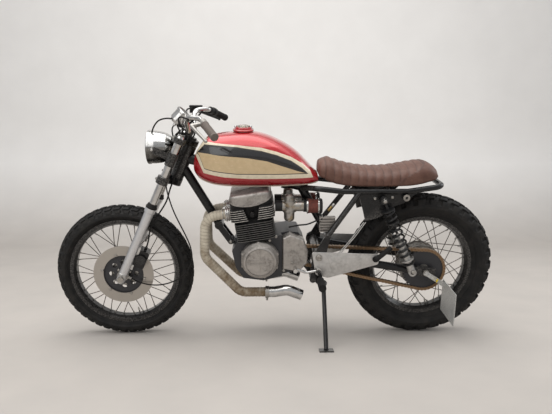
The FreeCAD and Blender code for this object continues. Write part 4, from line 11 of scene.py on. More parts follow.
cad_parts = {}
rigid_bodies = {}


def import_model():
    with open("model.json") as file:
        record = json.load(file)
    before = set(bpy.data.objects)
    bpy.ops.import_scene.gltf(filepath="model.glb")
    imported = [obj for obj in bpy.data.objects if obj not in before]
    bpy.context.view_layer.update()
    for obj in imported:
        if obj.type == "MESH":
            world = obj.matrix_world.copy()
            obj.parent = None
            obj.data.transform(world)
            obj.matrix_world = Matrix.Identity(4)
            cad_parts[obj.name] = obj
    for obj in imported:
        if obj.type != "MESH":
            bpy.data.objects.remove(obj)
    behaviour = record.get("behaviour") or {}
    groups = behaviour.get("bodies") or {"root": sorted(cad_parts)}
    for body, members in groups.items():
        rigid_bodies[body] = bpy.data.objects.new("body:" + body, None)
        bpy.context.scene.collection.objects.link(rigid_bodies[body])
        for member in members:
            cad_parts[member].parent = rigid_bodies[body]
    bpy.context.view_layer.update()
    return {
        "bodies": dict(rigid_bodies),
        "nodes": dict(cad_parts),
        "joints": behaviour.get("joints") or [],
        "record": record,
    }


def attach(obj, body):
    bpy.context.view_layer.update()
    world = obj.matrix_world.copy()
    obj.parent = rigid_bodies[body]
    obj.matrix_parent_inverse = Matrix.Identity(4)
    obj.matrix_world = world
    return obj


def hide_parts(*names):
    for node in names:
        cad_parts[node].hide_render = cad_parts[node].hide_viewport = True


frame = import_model()
NODES = frame["nodes"]
JOINTS = {joint["name"]: joint for joint in frame["joints"]}
MM = 0.001
NEAR_AXIS = 1e-6
EASE = 0.5


# Frames. Pieces are drawn in millimetres on the upright machine and leaned with it.

def move(x=0.0, y=0.0, z=0.0):
    return Matrix.Translation((x, y, z))


def turn(degrees, axis):
    return Matrix.Rotation(math.radians(degrees), 4, axis)


def metres(place):
    scaled = place.copy()
    scaled.translation = scaled.translation * MM
    return scaled


def pointing(base, direction):
    """A frame at base whose z runs along the direction."""
    aim = Vector(direction).normalized().to_track_quat("Z", "Y").to_matrix().to_4x4()
    return Matrix.Translation(base) @ aim


FRONT_POINT = Vector(JOINTS["front_wheel_spin"]["pos_m"])
REAR_POINT = Vector(JOINTS["rear_wheel_spin"]["pos_m"])
SPIN = Vector(JOINTS["rear_wheel_spin"]["axis"])
LEAN = math.atan2(SPIN.z, SPIN.y)
UP = (
    Matrix.Translation((
        (FRONT_POINT.x + REAR_POINT.x) / 2,
        REAR_POINT.y + REAR_POINT.z * math.tan(LEAN),
        0,
    ))
    @ Matrix.Rotation(LEAN, 4, "X")
)
LEVEL = Matrix()
FRONT = Matrix.Translation(UP.inverted() @ FRONT_POINT / MM)
REAR = Matrix.Translation(UP.inverted() @ REAR_POINT / MM)
RAKE, CYLINDER_TILT = 24.5, -9
FORK = FRONT @ turn(RAKE, "Y")
CRANK = move(-64, 0, 419)
CYLINDERS = CRANK @ turn(CYLINDER_TILT, "Y")
LEFTWARD = turn(90, "X")
RIGHTWARD = turn(-90, "X")


# Shapes: each gives its points and faces

def turned(profile, steps):
    """Turns (radius, along) pairs round z."""
    points, rings = [], []
    for radius, along in profile:
        if radius < NEAR_AXIS:
            rings.append([len(points)] * steps)
            points.append(Vector((0, 0, along)))
            continue
        rings.append(list(range(len(points), len(points) + steps)))
        for step in range(steps):
            angle = 2 * math.pi * step / steps
            points.append(Vector((radius * math.cos(angle), radius * math.sin(angle), along)))
    faces = []
    for low, high in zip(rings, rings[1:]):
        for step in range(steps):
            after = (step + 1) % steps
            face = []
            for index in (low[step], low[after], high[after], high[step]):
                if index not in face:
                    face.append(index)
            if len(face) > 2:
                faces.append(tuple(face))
    return points, faces


def from_bmesh(mesh):
    mesh.verts.index_update()
    points = [vert.co.copy() for vert in mesh.verts]
    faces = [tuple(vert.index for vert in face.verts) for face in mesh.faces]
    mesh.free()
    return points, faces


def block(length, width, height, bevel):
    mesh = bmesh.new()
    bmesh.ops.create_cube(mesh, size=1)
    bmesh.ops.scale(mesh, vec=(length, width, height), verts=mesh.verts)
    bmesh.ops.bevel(mesh, geom=mesh.edges, offset=bevel, segments=2, affect="EDGES", profile=EASE)
    return from_bmesh(mesh)


def plate(outline, wall, bevel):
    """A flat plate from y 0 to y -wall, its outline in x and z, with eased rims."""
    mesh = bmesh.new()
    ring = [mesh.verts.new((x, 0, z)) for x, z in outline]
    face = mesh.faces.new(ring)
    made = bmesh.ops.extrude_face_region(mesh, geom=[face])
    moved = [item for item in made["geom"] if isinstance(item, bmesh.types.BMVert)]
    bmesh.ops.translate(mesh, vec=(0, -wall, 0), verts=moved)
    rims = [edge for edge in mesh.edges if abs(edge.verts[0].co.y - edge.verts[1].co.y) < wall / 2]
    bmesh.ops.bevel(mesh, geom=rims, offset=bevel, segments=2, affect="EDGES", profile=EASE)
    bmesh.ops.recalc_face_normals(mesh, faces=mesh.faces)
    return from_bmesh(mesh)


def eased(outline, radius):
    """The outline with each corner rounded."""
    points = []
    steps = 4
    count = len(outline)
    for index in range(count):
        corner = Vector(outline[index])
        before = Vector(outline[index - 1]) - corner
        after = Vector(outline[(index + 1) % count]) - corner
        reach = min(radius, before.length / 2, after.length / 2)
        start = corner + before.normalized() * reach
        end = corner + after.normalized() * reach
        for step in range(steps + 1):
            share = step / steps
            points.append((start.lerp(corner, share)).lerp(corner.lerp(end, share), share))
    return points


def smooth_line(points, count):
    """A smooth line through the points, of the given number of samples."""
    knots = [Vector(point) for point in points]
    knots = [knots[0] * 2 - knots[1]] + knots + [knots[-1] * 2 - knots[-2]]
    line = []
    for step in range(count):
        place = step / (count - 1) * (len(knots) - 3)
        index = min(int(place), len(knots) - 4)
        share = place - index
        a, b, c, d = knots[index:index + 4]
        line.append(0.5 * (
            2 * b + (c - a) * share + (2 * a - 5 * b + 4 * c - d) * share ** 2
            + (3 * b - a - 3 * c + d) * share ** 3
        ))
    return line


def bent_line(corners, bend, spacing):
    """Straight runs joined by tangent arcs, sampled evenly, as a bent metal tube runs."""
    straight, shortest = 1e-3, 0.05
    corners = [Vector(corner) for corner in corners]
    line = [corners[0]]
    for before, corner, after in zip(corners, corners[1:], corners[2:]):
        inward = (before - corner).normalized()
        outward = (after - corner).normalized()
        angle = math.pi - inward.angle(outward)
        reach = bend * math.tan(angle / 2)
        entry, leave = corner + inward * reach, corner + outward * reach
        centre = corner + (inward + outward).normalized() * (bend / math.cos(angle / 2))
        steps = max(2, int(bend * angle / spacing))
        first, last = entry - centre, leave - centre
        for step in range(steps + 1):
            arc = first.normalized()
            if angle > straight:
                arc = arc.slerp(last.normalized(), step / steps)
            line.append(centre + arc * first.length)
    line.append(corners[-1])
    dense = [line[0]]
    for point in line[1:]:
        gap = (point - dense[-1]).length
        if gap < shortest:
            continue
        steps = max(1, round(gap / spacing))
        start = dense[-1]
        dense.extend(start.lerp(point, step / steps) for step in range(1, steps + 1))
    return dense


def bands(rings, steps):
    """The faces between rings of equally many points."""
    faces = []
    for low in range(0, (rings - 1) * steps, steps):
        for step in range(steps):
            beside = (step + 1) % steps
            faces.append((low + step, low + beside, low + steps + beside, low + steps + step))
    return faces


def lengths_along(line):
    return np.cumsum([0.0] + [(b - a).length for a, b in zip(line, line[1:])])


def swept(line, radius, steps, squash=1.0):
    """A bar along the line. radius is a number, or a function of the way along and the angle."""
    line = [Vector(point) for point in line]
    count = len(line)
    shape = radius if callable(radius) else (lambda along, angle: radius)
    tangents = [(ahead - behind).normalized()
                for behind, ahead in zip(line[:1] + line[:-1], line[1:] + line[-1:])]
    side = tangents[0].orthogonal().normalized()
    lengths = lengths_along(line)
    points = []
    for index, (centre, tangent) in enumerate(zip(line, tangents)):
        side = (side - tangent * side.dot(tangent)).normalized()
        other = tangent.cross(side)
        for step in range(steps):
            angle = 2 * math.pi * step / steps
            reach = shape(lengths[index], angle)
            points.append(centre + side * (reach * math.cos(angle))
                          + other * (reach * squash * math.sin(angle)))
    ends = [tuple(reversed(range(steps))), tuple(range((count - 1) * steps, count * steps))]
    return points, bands(count, steps) + ends


def bolt(radius, height=None):
    """A chamfered hexagon head on its washer."""
    height = height or radius * 0.75
    head = turned([(0, height), (radius * 0.72, height), (radius * 0.95, height * 0.82), (radius, 0.2)], 6)
    washer = turned([(radius * 1.25, 0.8), (radius * 1.3, 0.4), (radius * 1.3, -0.4)], 18)
    joined = Form().add(head).add(washer)
    return joined.points, joined.faces


def socket(radius, height=None):
    """A round head with a hexagon socket."""
    height = height or radius * 1.1
    return turned([(0, height * 0.45), (radius * 0.5, height * 0.45), (radius * 0.5, height),
                   (radius * 0.85, height), (radius, height * 0.86), (radius, -0.4)], 18)


class Form:
    """Points and faces gathered from simple shapes, each face with its material's number."""

    def __init__(self):
        self.points, self.faces, self.tags = [], [], []

    def add(self, shape, place=LEVEL, tag=0):
        points, faces = shape
        start = len(self.points)
        self.points.extend(place @ Vector(point) for point in points)
        self.faces.extend(tuple(start + index for index in face) for face in faces)
        self.tags.extend([tag] * len(faces))
        return self

    def both(self, shape, place=LEVEL):
        """The shape, and its mirror image on the machine's other side."""
        points, faces = shape
        placed = [place @ Vector(point) for point in points]
        mirror = [Vector((point.x, -point.y, point.z)) for point in placed]
        return self.add((placed, faces)).add((mirror, [tuple(reversed(face)) for face in faces]))


def piece(name, form, materials, body, at=LEVEL, replaces=(), smooth=35):
    """Makes the form one object, riding on its body."""
    materials = materials if isinstance(materials, (list, tuple)) else [materials]
    mesh = bpy.data.meshes.new(name)
    mesh.from_pydata([point * MM for point in form.points], [], form.faces)
    for material in materials:
        mesh.materials.append(material)
    mesh.polygons.foreach_set("material_index", form.tags)
    mesh.validate()
    thing = bpy.data.objects.new(name, mesh)
    bpy.context.scene.collection.objects.link(thing)
    thing.matrix_world = UP @ metres(at)
    clean = bmesh.new()
    clean.from_mesh(mesh)
    bmesh.ops.recalc_face_normals(clean, faces=clean.faces)
    clean.to_mesh(mesh)
    clean.free()
    if smooth:
        mesh.shade_smooth()
        mesh.set_sharp_from_angle(angle=math.radians(smooth))
    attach(thing, body)
    if replaces:
        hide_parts(*replaces)
    return thing


# Materials

BORDER_EDGE = 0.0004


class Paint:
    """A node-based material. Every texture is read in the piece's own coordinates."""

    def __init__(self, name, colour, metallic=0.0, roughness=0.5, **fixed):
        self.material = bpy.data.materials.new(name)
        self.material.use_nodes = True
        tree = self.material.node_tree
        self.nodes, self.links = tree.nodes, tree.links
        self.shader = self.nodes["Principled BSDF"]
        self.coordinates = self.nodes.new("ShaderNodeTexCoord").outputs["Object"]
        self.set("Base Color", colour)
        self.set("Metallic", metallic)
        self.set("Roughness", roughness)
        for name, value in fixed.items():
            self.set(name.replace("_", " "), value)

    def plug(self, target, value):
        """Links a node's output, or writes a number, a vector or a colour."""
        if isinstance(value, bpy.types.NodeSocket):
            self.links.new(value, target)
        elif isinstance(value, tuple) and target.type == "RGBA":
            target.default_value = (*value, 1.0)
        else:
            target.default_value = value

    def set(self, name, value):
        self.plug(self.shader.inputs[name], value)

    def node(self, kind, inputs=(), **settings):
        """A new node of a kind, with its settings and its inputs plugged in."""
        node = self.nodes.new("ShaderNode" + kind)
        for name, value in settings.items():
            setattr(node, name, value)
        for name, value in dict(inputs).items():
            self.plug(node.inputs[name], value)
        return node

    def math(self, operation, first, second=0.0, clamp=False):
        return self.node("Math", {0: first, 1: second}, operation=operation, use_clamp=clamp).outputs[0]

    def times(self, first, second, clamp=False):
        return self.math("MULTIPLY", first, second, clamp)

    def vector(self, operation, first, second, output="Vector"):
        return self.node("VectorMath", {0: first, 1: second}, operation=operation).outputs[output]

    def noise(self, scale, detail=3.0, roughness=0.55, stretch=None, distortion=0.0):
        place = self.vector("MULTIPLY", self.coordinates, stretch) if stretch else self.coordinates
        return self.node("TexNoise", {
            "Vector": place, "Scale": scale, "Detail": detail, "Roughness": roughness,
            "Distortion": distortion,
        }).outputs["Fac"]

    def cells(self, scale, feature="F1", output="Distance"):
        inputs = {"Vector": self.coordinates, "Scale": scale}
        return self.node("TexVoronoi", inputs, feature=feature).outputs[output]

    def axis(self, name):
        return self.node("SeparateXYZ", {0: self.coordinates}).outputs[name]

    def spread(self, value, low, high, to_low=0.0, to_high=1.0):
        """Maps low..high to to_low..to_high, held at both ends."""
        return self.node("MapRange", {
            "Value": value, "From Min": low, "From Max": high, "To Min": to_low, "To Max": to_high,
        }).outputs["Result"]

    def patches(self, noise, low, high, to_low=0.0, to_high=1.0):
        """Cloudy patches, from noise of the given scale, detail and roughness."""
        return self.spread(self.noise(*noise), low, high, to_low, to_high)

    def banded(self, value, low, high):
        """One between two values, zero outside them."""
        return self.times(self.spread(value, low - BORDER_EDGE, low + BORDER_EDGE),
                          self.spread(value, high - BORDER_EDGE, high + BORDER_EDGE, 1.0, 0.0))

    def mix(self, factor, first, second):
        inputs = {"Factor": factor, "A": first, "B": second}
        return self.node("Mix", inputs, data_type="RGBA").outputs["Result"]

    def edges(self, low, high):
        """How much the surface is a raised edge, where paint and dirt wear off."""
        return self.spread(self.node("NewGeometry").outputs["Pointiness"], low, high)

    def attribute(self, name):
        return self.node("Attribute", attribute_name=name).outputs["Fac"]

    def curve(self, value, points, reach):
        """A curve of the value, both in metres; reach is the range of its points."""
        low, high, bottom, top = reach
        node = self.node("FloatCurve", {"Value": self.spread(value, low * MM, high * MM)})
        curve = node.mapping.curves[0]
        shares = [((x - low) / (high - low), (z - bottom) / (top - bottom)) for x, z in points]
        curve.points[0].location, curve.points[1].location = shares[0], shares[-1]
        for x, z in shares[1:-1]:
            curve.points.new(x, z)
        for point in curve.points:
            point.handle_type = "VECTOR"
        node.mapping.update()
        return self.spread(node.outputs[0], 0.0, 1.0, bottom * MM, top * MM)

    def along(self, frame, axis):
        """The distance along one axis of a frame that stands in the row's metres."""
        offset = self.vector("SUBTRACT", self.coordinates, frame.translation)
        return self.vector("DOT_PRODUCT", offset, frame.col[axis].xyz, "Value")

    def distance(self, point, axis):
        """How far the surface lies from a line, in metres."""
        offset = self.vector("SUBTRACT", self.coordinates, point)
        crossed = self.vector("CROSS_PRODUCT", offset, Vector(axis).normalized())
        return self.node("VectorMath", {0: crossed}, operation="LENGTH").outputs["Value"]

    def soften(self, radius):
        """Rounds the look of hard edges, as casting and paint do."""
        node = self.node("Bevel", {"Radius": radius * MM}, samples=4)
        self.links.new(node.outputs[0], self.shader.inputs["Normal"])
        return self

    def bump(self, height, strength, distance):
        node = self.node("Bump", {"Strength": strength, "Distance": distance, "Height": height})
        previous = self.shader.inputs["Normal"]
        if previous.links:
            self.links.new(previous.links[0].from_socket, node.inputs["Normal"])
        self.links.new(node.outputs[0], previous)


def metal(name, colour, roughness, grime=(0.06, 0.05, 0.04), grime_share=0.35, bump=0.15, grain=900,
          metallic=1.0):
    """Bare metal with an uneven polish, dirt in patches and a fine cast or drawn grain."""
    paint = Paint(name, colour, metallic, roughness).soften(0.6)
    cloud = paint.noise(14, 5, 0.62)
    spots = paint.noise(90, 4, 0.7)
    dirt = paint.times(paint.spread(cloud, 0.45, 0.75), paint.spread(spots, 0.35, 0.7))
    dirt = paint.times(dirt, grime_share * 2, clamp=True)
    tone = paint.mix(paint.patches((45, 4), 0.3, 0.7), colour, tuple(c * 0.82 for c in colour))
    paint.set("Base Color", paint.mix(dirt, tone, grime))
    paint.set("Roughness", paint.spread(paint.math("ADD", spots, dirt), 0.3, 1.3, roughness * 0.75,
                                        min(1.0, roughness * 1.6 + 0.08)))
    paint.bump(paint.noise(grain, 2), bump, 0.0004)
    return paint.material


def coated(name, colour, roughness, chip=(0.32, 0.3, 0.28), wear=0.4, dust=0.1, coat=0.0):
    """Paint over metal, rubbed thin on its edges, with dust and fine scratches."""
    paint = Paint(name, colour, 0.0, roughness, Coat_Weight=coat, Coat_Roughness=0.08,
                  Specular_IOR_Level=0.25).soften(0.8)
    scratches = paint.noise(220, 3, 0.7, stretch=(0.15, 1, 1))
    ragged = paint.patches((160, 4, 0.7), 0.42, 0.62)
    worn = paint.times(paint.times(paint.edges(0.515, 0.6), ragged), wear, clamp=True)
    dusty = paint.times(paint.patches((18, 5, 0.65), 0.45, 0.8), dust, clamp=True)
    tone = paint.mix(dusty, colour, (0.13, 0.118, 0.105))
    paint.set("Base Color", paint.mix(worn, tone, chip))
    paint.set("Metallic", paint.times(worn, 0.8))
    paint.set("Roughness", paint.spread(paint.math("ADD", scratches, dusty), 0.3, 1.0, roughness * 0.8,
                                        min(1.0, roughness * 1.45)))
    paint.bump(scratches, 0.05, 0.0003)
    return paint.material


def rubbery(name, colour, roughness=0.75, dust=(0.16, 0.14, 0.12), dust_share=0.35, grain=700):
    """Rubber or moulded plastic under a film of dust."""
    paint = Paint(name, colour, 0.0, roughness, Specular_IOR_Level=0.25).soften(0.8)
    dusty = paint.times(paint.patches((30, 6, 0.7), 0.42, 0.75), dust_share, clamp=True)
    paint.set("Base Color", paint.mix(dusty, colour, dust))
    rougher = min(1.0, roughness * 1.15)
    paint.set("Roughness", paint.patches((60, 4), 0.3, 0.7, roughness * 0.85, rougher))
    paint.bump(paint.noise(grain, 3), 0.12, 0.0005)
    return paint.material


def hub_paint(name, point, flange, colour):
    """Cast alloy inside the flange, dark weathered wire beyond it."""
    paint = Paint(name, colour, 1.0, 0.42)
    radius = paint.distance(point, SPIN)
    wire = paint.spread(radius, flange, flange + 0.002)
    rust = paint.patches((120, 5, 0.7), 0.48, 0.68)
    strand = paint.mix(rust, (0.19, 0.18, 0.17), (0.16, 0.09, 0.05))
    grime = paint.patches((28, 5, 0.65), 0.42, 0.78)
    alloy = paint.mix(grime, colour, (0.12, 0.105, 0.09))
    paint.set("Base Color", paint.mix(wire, alloy, strand))
    paint.set("Roughness", paint.patches((70, 4), 0.3, 0.7, 0.3, 0.58))
    paint.bump(paint.noise(600, 2), 0.12, 0.0004)
    return paint.material


def fin_paint(name, half_length, bright, half_width=150, corner=26):
    """Black cast fins whose rims are rubbed bright: the rim lies on a rounded oblong."""
    paint = Paint(name, (0.02, 0.02, 0.021), 0.0, 0.55, Specular_IOR_Level=0.25).soften(0.5)
    frame = UP @ metres(CYLINDERS)
    out = []
    for axis, half in ((0, half_length), (1, half_width)):
        away = paint.math("ABSOLUTE", paint.along(frame, axis))
        beyond = paint.math("SUBTRACT", away, (half - corner) * MM)
        out.append(paint.math("MAXIMUM", beyond, 0.0))
    squares = paint.math("ADD", paint.math("POWER", out[0], 2.0), paint.math("POWER", out[1], 2.0))
    reach = paint.math("SUBTRACT", paint.math("SQRT", squares), corner * MM)
    rim = paint.spread(reach, -0.0012, -0.0004)
    ragged = paint.patches((110, 4, 0.7), 0.3, 0.5)
    dusty = paint.times(paint.patches((18, 5, 0.65), 0.42, 0.8), 0.25, clamp=True)
    worn = paint.times(paint.times(rim, ragged), bright)
    tone = paint.mix(dusty, (0.008, 0.008, 0.0085), (0.1, 0.09, 0.08))
    paint.set("Base Color", paint.mix(worn, tone, (0.56, 0.54, 0.51)))
    paint.set("Metallic", paint.times(worn, 0.85))
    paint.set("Roughness", paint.patches((60, 4), 0.3, 0.7, 0.4, 0.62))
    paint.bump(paint.noise(500, 2), 0.2, 0.0005)
    return paint.material


fin_paint("barrel_fins", 86, 0.22)
fin_paint("head_fins", 98, 0.95)
BLACK = coated("black_enamel", (0.006, 0.006, 0.0065), 0.3, wear=0.3, dust=0.07, coat=0.3)
SATIN = coated("satin_black", (0.008, 0.008, 0.0085), 0.45, wear=0.25, dust=0.1)
rubbery("moulded_plastic", (0.008, 0.008, 0.0085), 0.5, dust_share=0.08, grain=500)
RUBBER = rubbery("black_rubber", (0.01, 0.0095, 0.0095), dust_share=0.1)
TYRE = rubbery("tyre_rubber", (0.0105, 0.0103, 0.0103), 0.68, dust=(0.075, 0.066, 0.057), dust_share=0.3,
               grain=450)
GRIP = rubbery("grip_rubber", (0.16, 0.135, 0.12), 0.7, dust=(0.24, 0.2, 0.17), dust_share=0.4, grain=650)
CHROME = metal("chrome_plate", (0.68, 0.67, 0.655), 0.1, grime_share=0.25, bump=0.02)
STEEL = metal("zinc_steel", (0.46, 0.44, 0.41), 0.34, grime_share=0.4)
ALLOY = metal("cast_alloy", (0.47, 0.44, 0.41), 0.46, grime=(0.1, 0.085, 0.07), grime_share=0.45, bump=0.4,
              grain=420, metallic=0.75)
BRIGHT = metal("bright_alloy", (0.66, 0.645, 0.62), 0.36, grime_share=0.2, bump=0.1)
FORK_ALLOY = metal("fork_alloy", (0.62, 0.61, 0.595), 0.33, grime_share=0.16, bump=0.12,
                   metallic=0.85)
coated("engine_black", (0.009, 0.009, 0.0095), 0.5, chip=(0.3, 0.28, 0.26), wear=0.6, dust=0.2)
BRASS = metal("aged_brass", (0.42, 0.29, 0.12), 0.42, grime_share=0.4)
RUST = metal("rusty_steel", (0.22, 0.12, 0.06), 0.7, grime=(0.09, 0.04, 0.02), grime_share=0.6, bump=0.5,
             grain=500, metallic=0.35)
SIDE_ALLOY = metal("plate_alloy", (0.6, 0.585, 0.565), 0.45, grime=(0.2, 0.18, 0.16), grime_share=0.25,
                   bump=0.25, grain=350, metallic=0.7)
metal("disc_steel", (0.075, 0.06, 0.048), 0.42, grime=(0.045, 0.03, 0.02), grime_share=0.5, bump=0.1,
      grain=700, metallic=0.8)


def chain_paint():
    """Dark oiled steel with rust in patches."""
    paint = Paint("chain_steel", (0.1, 0.085, 0.07), 0.8, 0.55)
    rust = paint.patches((160, 5, 0.7), 0.45, 0.62)
    paint.set("Base Color", paint.mix(rust, (0.042, 0.036, 0.031), (0.095, 0.04, 0.016)))
    paint.set("Metallic", paint.spread(rust, 0, 1, 0.85, 0.1))
    paint.bump(paint.noise(700, 3), 0.4, 0.0005)
    return paint.material


def leather_paint():
    """Brown hide with pores, creases near its seams and paler patches."""
    paint = Paint("brown_leather", (0.16, 0.075, 0.052), 0.0, 0.46, Specular_IOR_Level=0.45)
    cloud = paint.patches((16, 5, 0.6), 0.3, 0.75)
    tone = paint.mix(cloud, (0.088, 0.038, 0.026), (0.145, 0.068, 0.047))
    tone = paint.mix(paint.times(paint.attribute("seam"), 0.75), tone, (0.045, 0.02, 0.014))
    rub = paint.times(paint.patches((70, 4, 0.7), 0.5, 0.72), 0.35)
    tone = paint.mix(rub, tone, (0.2, 0.108, 0.078))
    paint.set("Base Color", tone)
    grain = paint.cells(420, "SMOOTH_F1")
    creases = paint.noise(120, 6, 0.65, stretch=(1.0, 0.35, 1.0), distortion=0.6)
    paint.set("Roughness", paint.spread(paint.math("ADD", grain, creases), 0.3, 1.3, 0.36, 0.6))
    paint.bump(grain, 0.22, 0.0006)
    paint.bump(creases, 0.3, 0.001)
    return paint.material


LEATHER = leather_paint()


def wrap_paint():
    """Woven heat wrap: cream, turning brown in patches and more so towards the bottom."""
    paint = Paint("heat_wrap", (0.6, 0.54, 0.42), 0.0, 0.85, Sheen_Weight=0.15)
    # The wrap is mixed browner towards the bottom by height, as well as in random patches.
    low = paint.spread(paint.axis("Z"), 0.22, 0.56, 1.0, 0.0)
    cloud = paint.math("ADD", paint.noise(26, 5, 0.65), paint.times(low, 0.5))
    brown_share = paint.spread(cloud, 0.5, 1.0)
    tone = paint.mix(brown_share, (0.62, 0.56, 0.45), (0.17, 0.115, 0.062))
    tone = paint.mix(paint.times(paint.attribute("seam"), 0.6), tone, (0.13, 0.095, 0.06))
    threads = paint.noise(900, 2, 0.6)
    paint.set("Base Color", paint.mix(paint.spread(threads, 0.3, 0.7, 0.0, 0.25), tone, (0.1, 0.08, 0.05)))
    paint.bump(threads, 0.5, 0.0006)
    paint.bump(paint.attribute("weave"), 0.5, 0.0006)
    return paint.material


WRAP = wrap_paint()


# The tank's panel, in x and z: each line runs from the front to the back
TANK_REACH = (-350.0, 180.0, 750.0, 960.0)
BORDER_TOP = ((-350, 890), (-344, 899), (-309, 941), (-244, 936), (-162, 931), (-58, 920.5), (9, 902.5),
              (72, 878.5), (125, 846.5), (158, 815), (172, 785), (180, 760))
BORDER_LOW = ((-350, 890), (-344, 878), (-310, 804), (-289, 801), (-216, 791), (-111, 785), (47, 785),
              (172, 785), (180, 760))
LINE_LOW = ((-350, 893), (-334, 886), (-328, 878), (-307, 823), (-268, 815), (-163, 805), (147, 803),
            (180, 803))
LINE_TOP = ((-350, 880), (-336, 896), (-305, 929), (-244, 928), (-162, 923), (-58, 907.5), (9, 889),
            (72, 863), (120, 831), (146, 806), (150, 803), (180, 760))
BLACK_LOW = ((-350, 894), (-287, 891), (-240, 886), (-162, 881), (-111, 876), (-32, 863), (47, 836),
             (99, 817.5), (146, 804), (180, 800))


def tank_paint():
    """Candy red over silver, painted darker low down as shade, with the cream, black and gold panel on each
    side.
    """
    red = (0.42, 0.006, 0.012)
    paint = Paint("tank_paint", red, 0.25, 0.22, Coat_Weight=1.0, Coat_Roughness=0.04)
    x, z = paint.axis("X"), paint.axis("Z")

    def under(points):
        below = paint.math("SUBTRACT", paint.curve(x, points, TANK_REACH), z)
        return paint.spread(below, -BORDER_EDGE, BORDER_EDGE)

    def over(points):
        above = paint.math("SUBTRACT", z, paint.curve(x, points, TANK_REACH))
        return paint.spread(above, -BORDER_EDGE, BORDER_EDGE)

    def shifted(points, up):
        return [(across, height + up) for across, height in points]

    border = paint.times(under(BORDER_TOP), over(BORDER_LOW))
    panel = paint.times(under(LINE_TOP), over(LINE_LOW))
    inner = paint.times(under(shifted(LINE_TOP, -3)), over(shifted(LINE_LOW, 3.5)))
    dark = paint.times(inner, over(BLACK_LOW))
    flake = paint.node("SeparateColor", {0: paint.cells(2600, output="Color")}).outputs[0]
    body = paint.mix(paint.spread(flake, 0.7, 1.0, 0.0, 0.35), red, (0.62, 0.03, 0.035))
    # Painted shade: the red is mixed darker towards the bottom of the tank, half into the body colour.
    shade = paint.mix(paint.spread(z, 0.74, 0.9), (0.25, 0.0, 0.006), (0.5, 0.01, 0.016))
    body = paint.mix(0.5, body, shade)
    cream = paint.mix(paint.patches((60, 4), 0.35, 0.7), (0.78, 0.69, 0.52), (0.67, 0.58, 0.42))
    gold = paint.mix(paint.patches((40, 5, 0.6), 0.35, 0.75), (0.62, 0.465, 0.265), (0.54, 0.4, 0.22))
    tone = paint.mix(border, body, cream)
    tone = paint.mix(panel, tone, (0.01, 0.01, 0.01))
    tone = paint.mix(inner, tone, gold)
    tone = paint.mix(dark, tone, (0.008, 0.008, 0.009))
    scuffs = paint.noise(150, 5, 0.75, stretch=(0.3, 1, 1))
    paint.set("Base Color", paint.mix(paint.spread(scuffs, 0.68, 0.8, 0.0, 0.12), tone, (0.5, 0.4, 0.36)))
    paint.set("Metallic", paint.times(paint.math("SUBTRACT", 1.0, border), 0.3))
    paint.set("Roughness", paint.spread(scuffs, 0.4, 0.8, 0.2, 0.36))
    return paint.material


TANK = tank_paint()
CREAM = coated("cream_lacquer", (0.62, 0.55, 0.44), 0.35, wear=0.2, coat=0.4)
RED = coated("red_lacquer", (0.4, 0.006, 0.012), 0.2, wear=0.1, dust=0.05, coat=1.0)


def mesh_paint():
    """Oiled red-brown filter gauze over pleats, between bright bands, with a black neck and end."""
    paint = Paint("filter_gauze", (0.16, 0.04, 0.028), 0.1, 0.6)
    mesh_count = 4200.0  # radians per metre
    across = paint.math("SINE", paint.times(paint.axis("X"), mesh_count))
    weave = paint.times(across, paint.math("SINE", paint.times(paint.axis("Z"), mesh_count)))
    dirt = paint.patches((70, 5, 0.7), 0.4, 0.7)
    along = paint.axis("X")
    gauze = paint.banded(along, 0.1386, 0.183)
    rings = paint.math("ADD", paint.banded(along, 0.132, 0.1386), paint.banded(along, 0.183, 0.1892))
    tone = paint.mix(gauze, (0.01, 0.01, 0.01), paint.mix(dirt, (0.2, 0.05, 0.034), (0.09, 0.03, 0.022)))
    paint.set("Base Color", paint.mix(rings, tone, (0.6, 0.59, 0.57)))
    paint.set("Metallic", rings)
    paint.set("Roughness", paint.spread(rings, 0, 1, 0.6, 0.22))
    paint.bump(paint.times(weave, gauze), 0.6, 0.0006)
    return paint.material


def carburettor_paint():
    """Grey and brassy castings behind a black intake boot."""
    paint = Paint("carburettor_cast", (0.4, 0.38, 0.34), 0.8, 0.42).soften(0.6)
    brass = paint.times(paint.patches((38, 4, 0.6), 0.5, 0.66), 0.75)
    dirt = paint.patches((60, 5, 0.7), 0.5, 0.75)
    tone = paint.mix(brass, (0.42, 0.4, 0.37), (0.3, 0.21, 0.1))
    tone = paint.mix(dirt, tone, (0.05, 0.043, 0.036))
    boot = paint.spread(paint.axis("X"), 0.0226, 0.0234, 1.0, 0.0)
    paint.set("Base Color", paint.mix(boot, tone, (0.01, 0.01, 0.01)))
    paint.set("Metallic", paint.spread(boot, 0, 1, 0.8, 0.0))
    paint.set("Roughness", paint.spread(paint.math("ADD", dirt, boot), 0, 1, 0.36, 0.65))
    paint.bump(paint.noise(420, 2), 0.3, 0.0004)
    return paint.material


def damper_paint():
    """Silver damper bodies, black above a set height."""
    paint = Paint("damper_alloy", (0.5, 0.49, 0.475), 0.85, 0.35).soften(0.6)
    spots = paint.noise(90, 4, 0.7)
    # Above 0.5 m the damper is coloured black.
    upper = paint.spread(paint.axis("Z"), 0.5, 0.502)
    tone = paint.mix(paint.spread(spots, 0.45, 0.7, 0.0, 0.45), (0.52, 0.51, 0.49), (0.12, 0.11, 0.1))
    paint.set("Base Color", paint.mix(upper, tone, (0.009, 0.009, 0.0095)))
    paint.set("Metallic", paint.spread(upper, 0, 1, 0.85, 0.0))
    paint.set("Roughness", paint.spread(spots, 0.3, 0.7, 0.3, 0.5))
    paint.bump(spots, 0.1, 0.0003)
    return paint.material


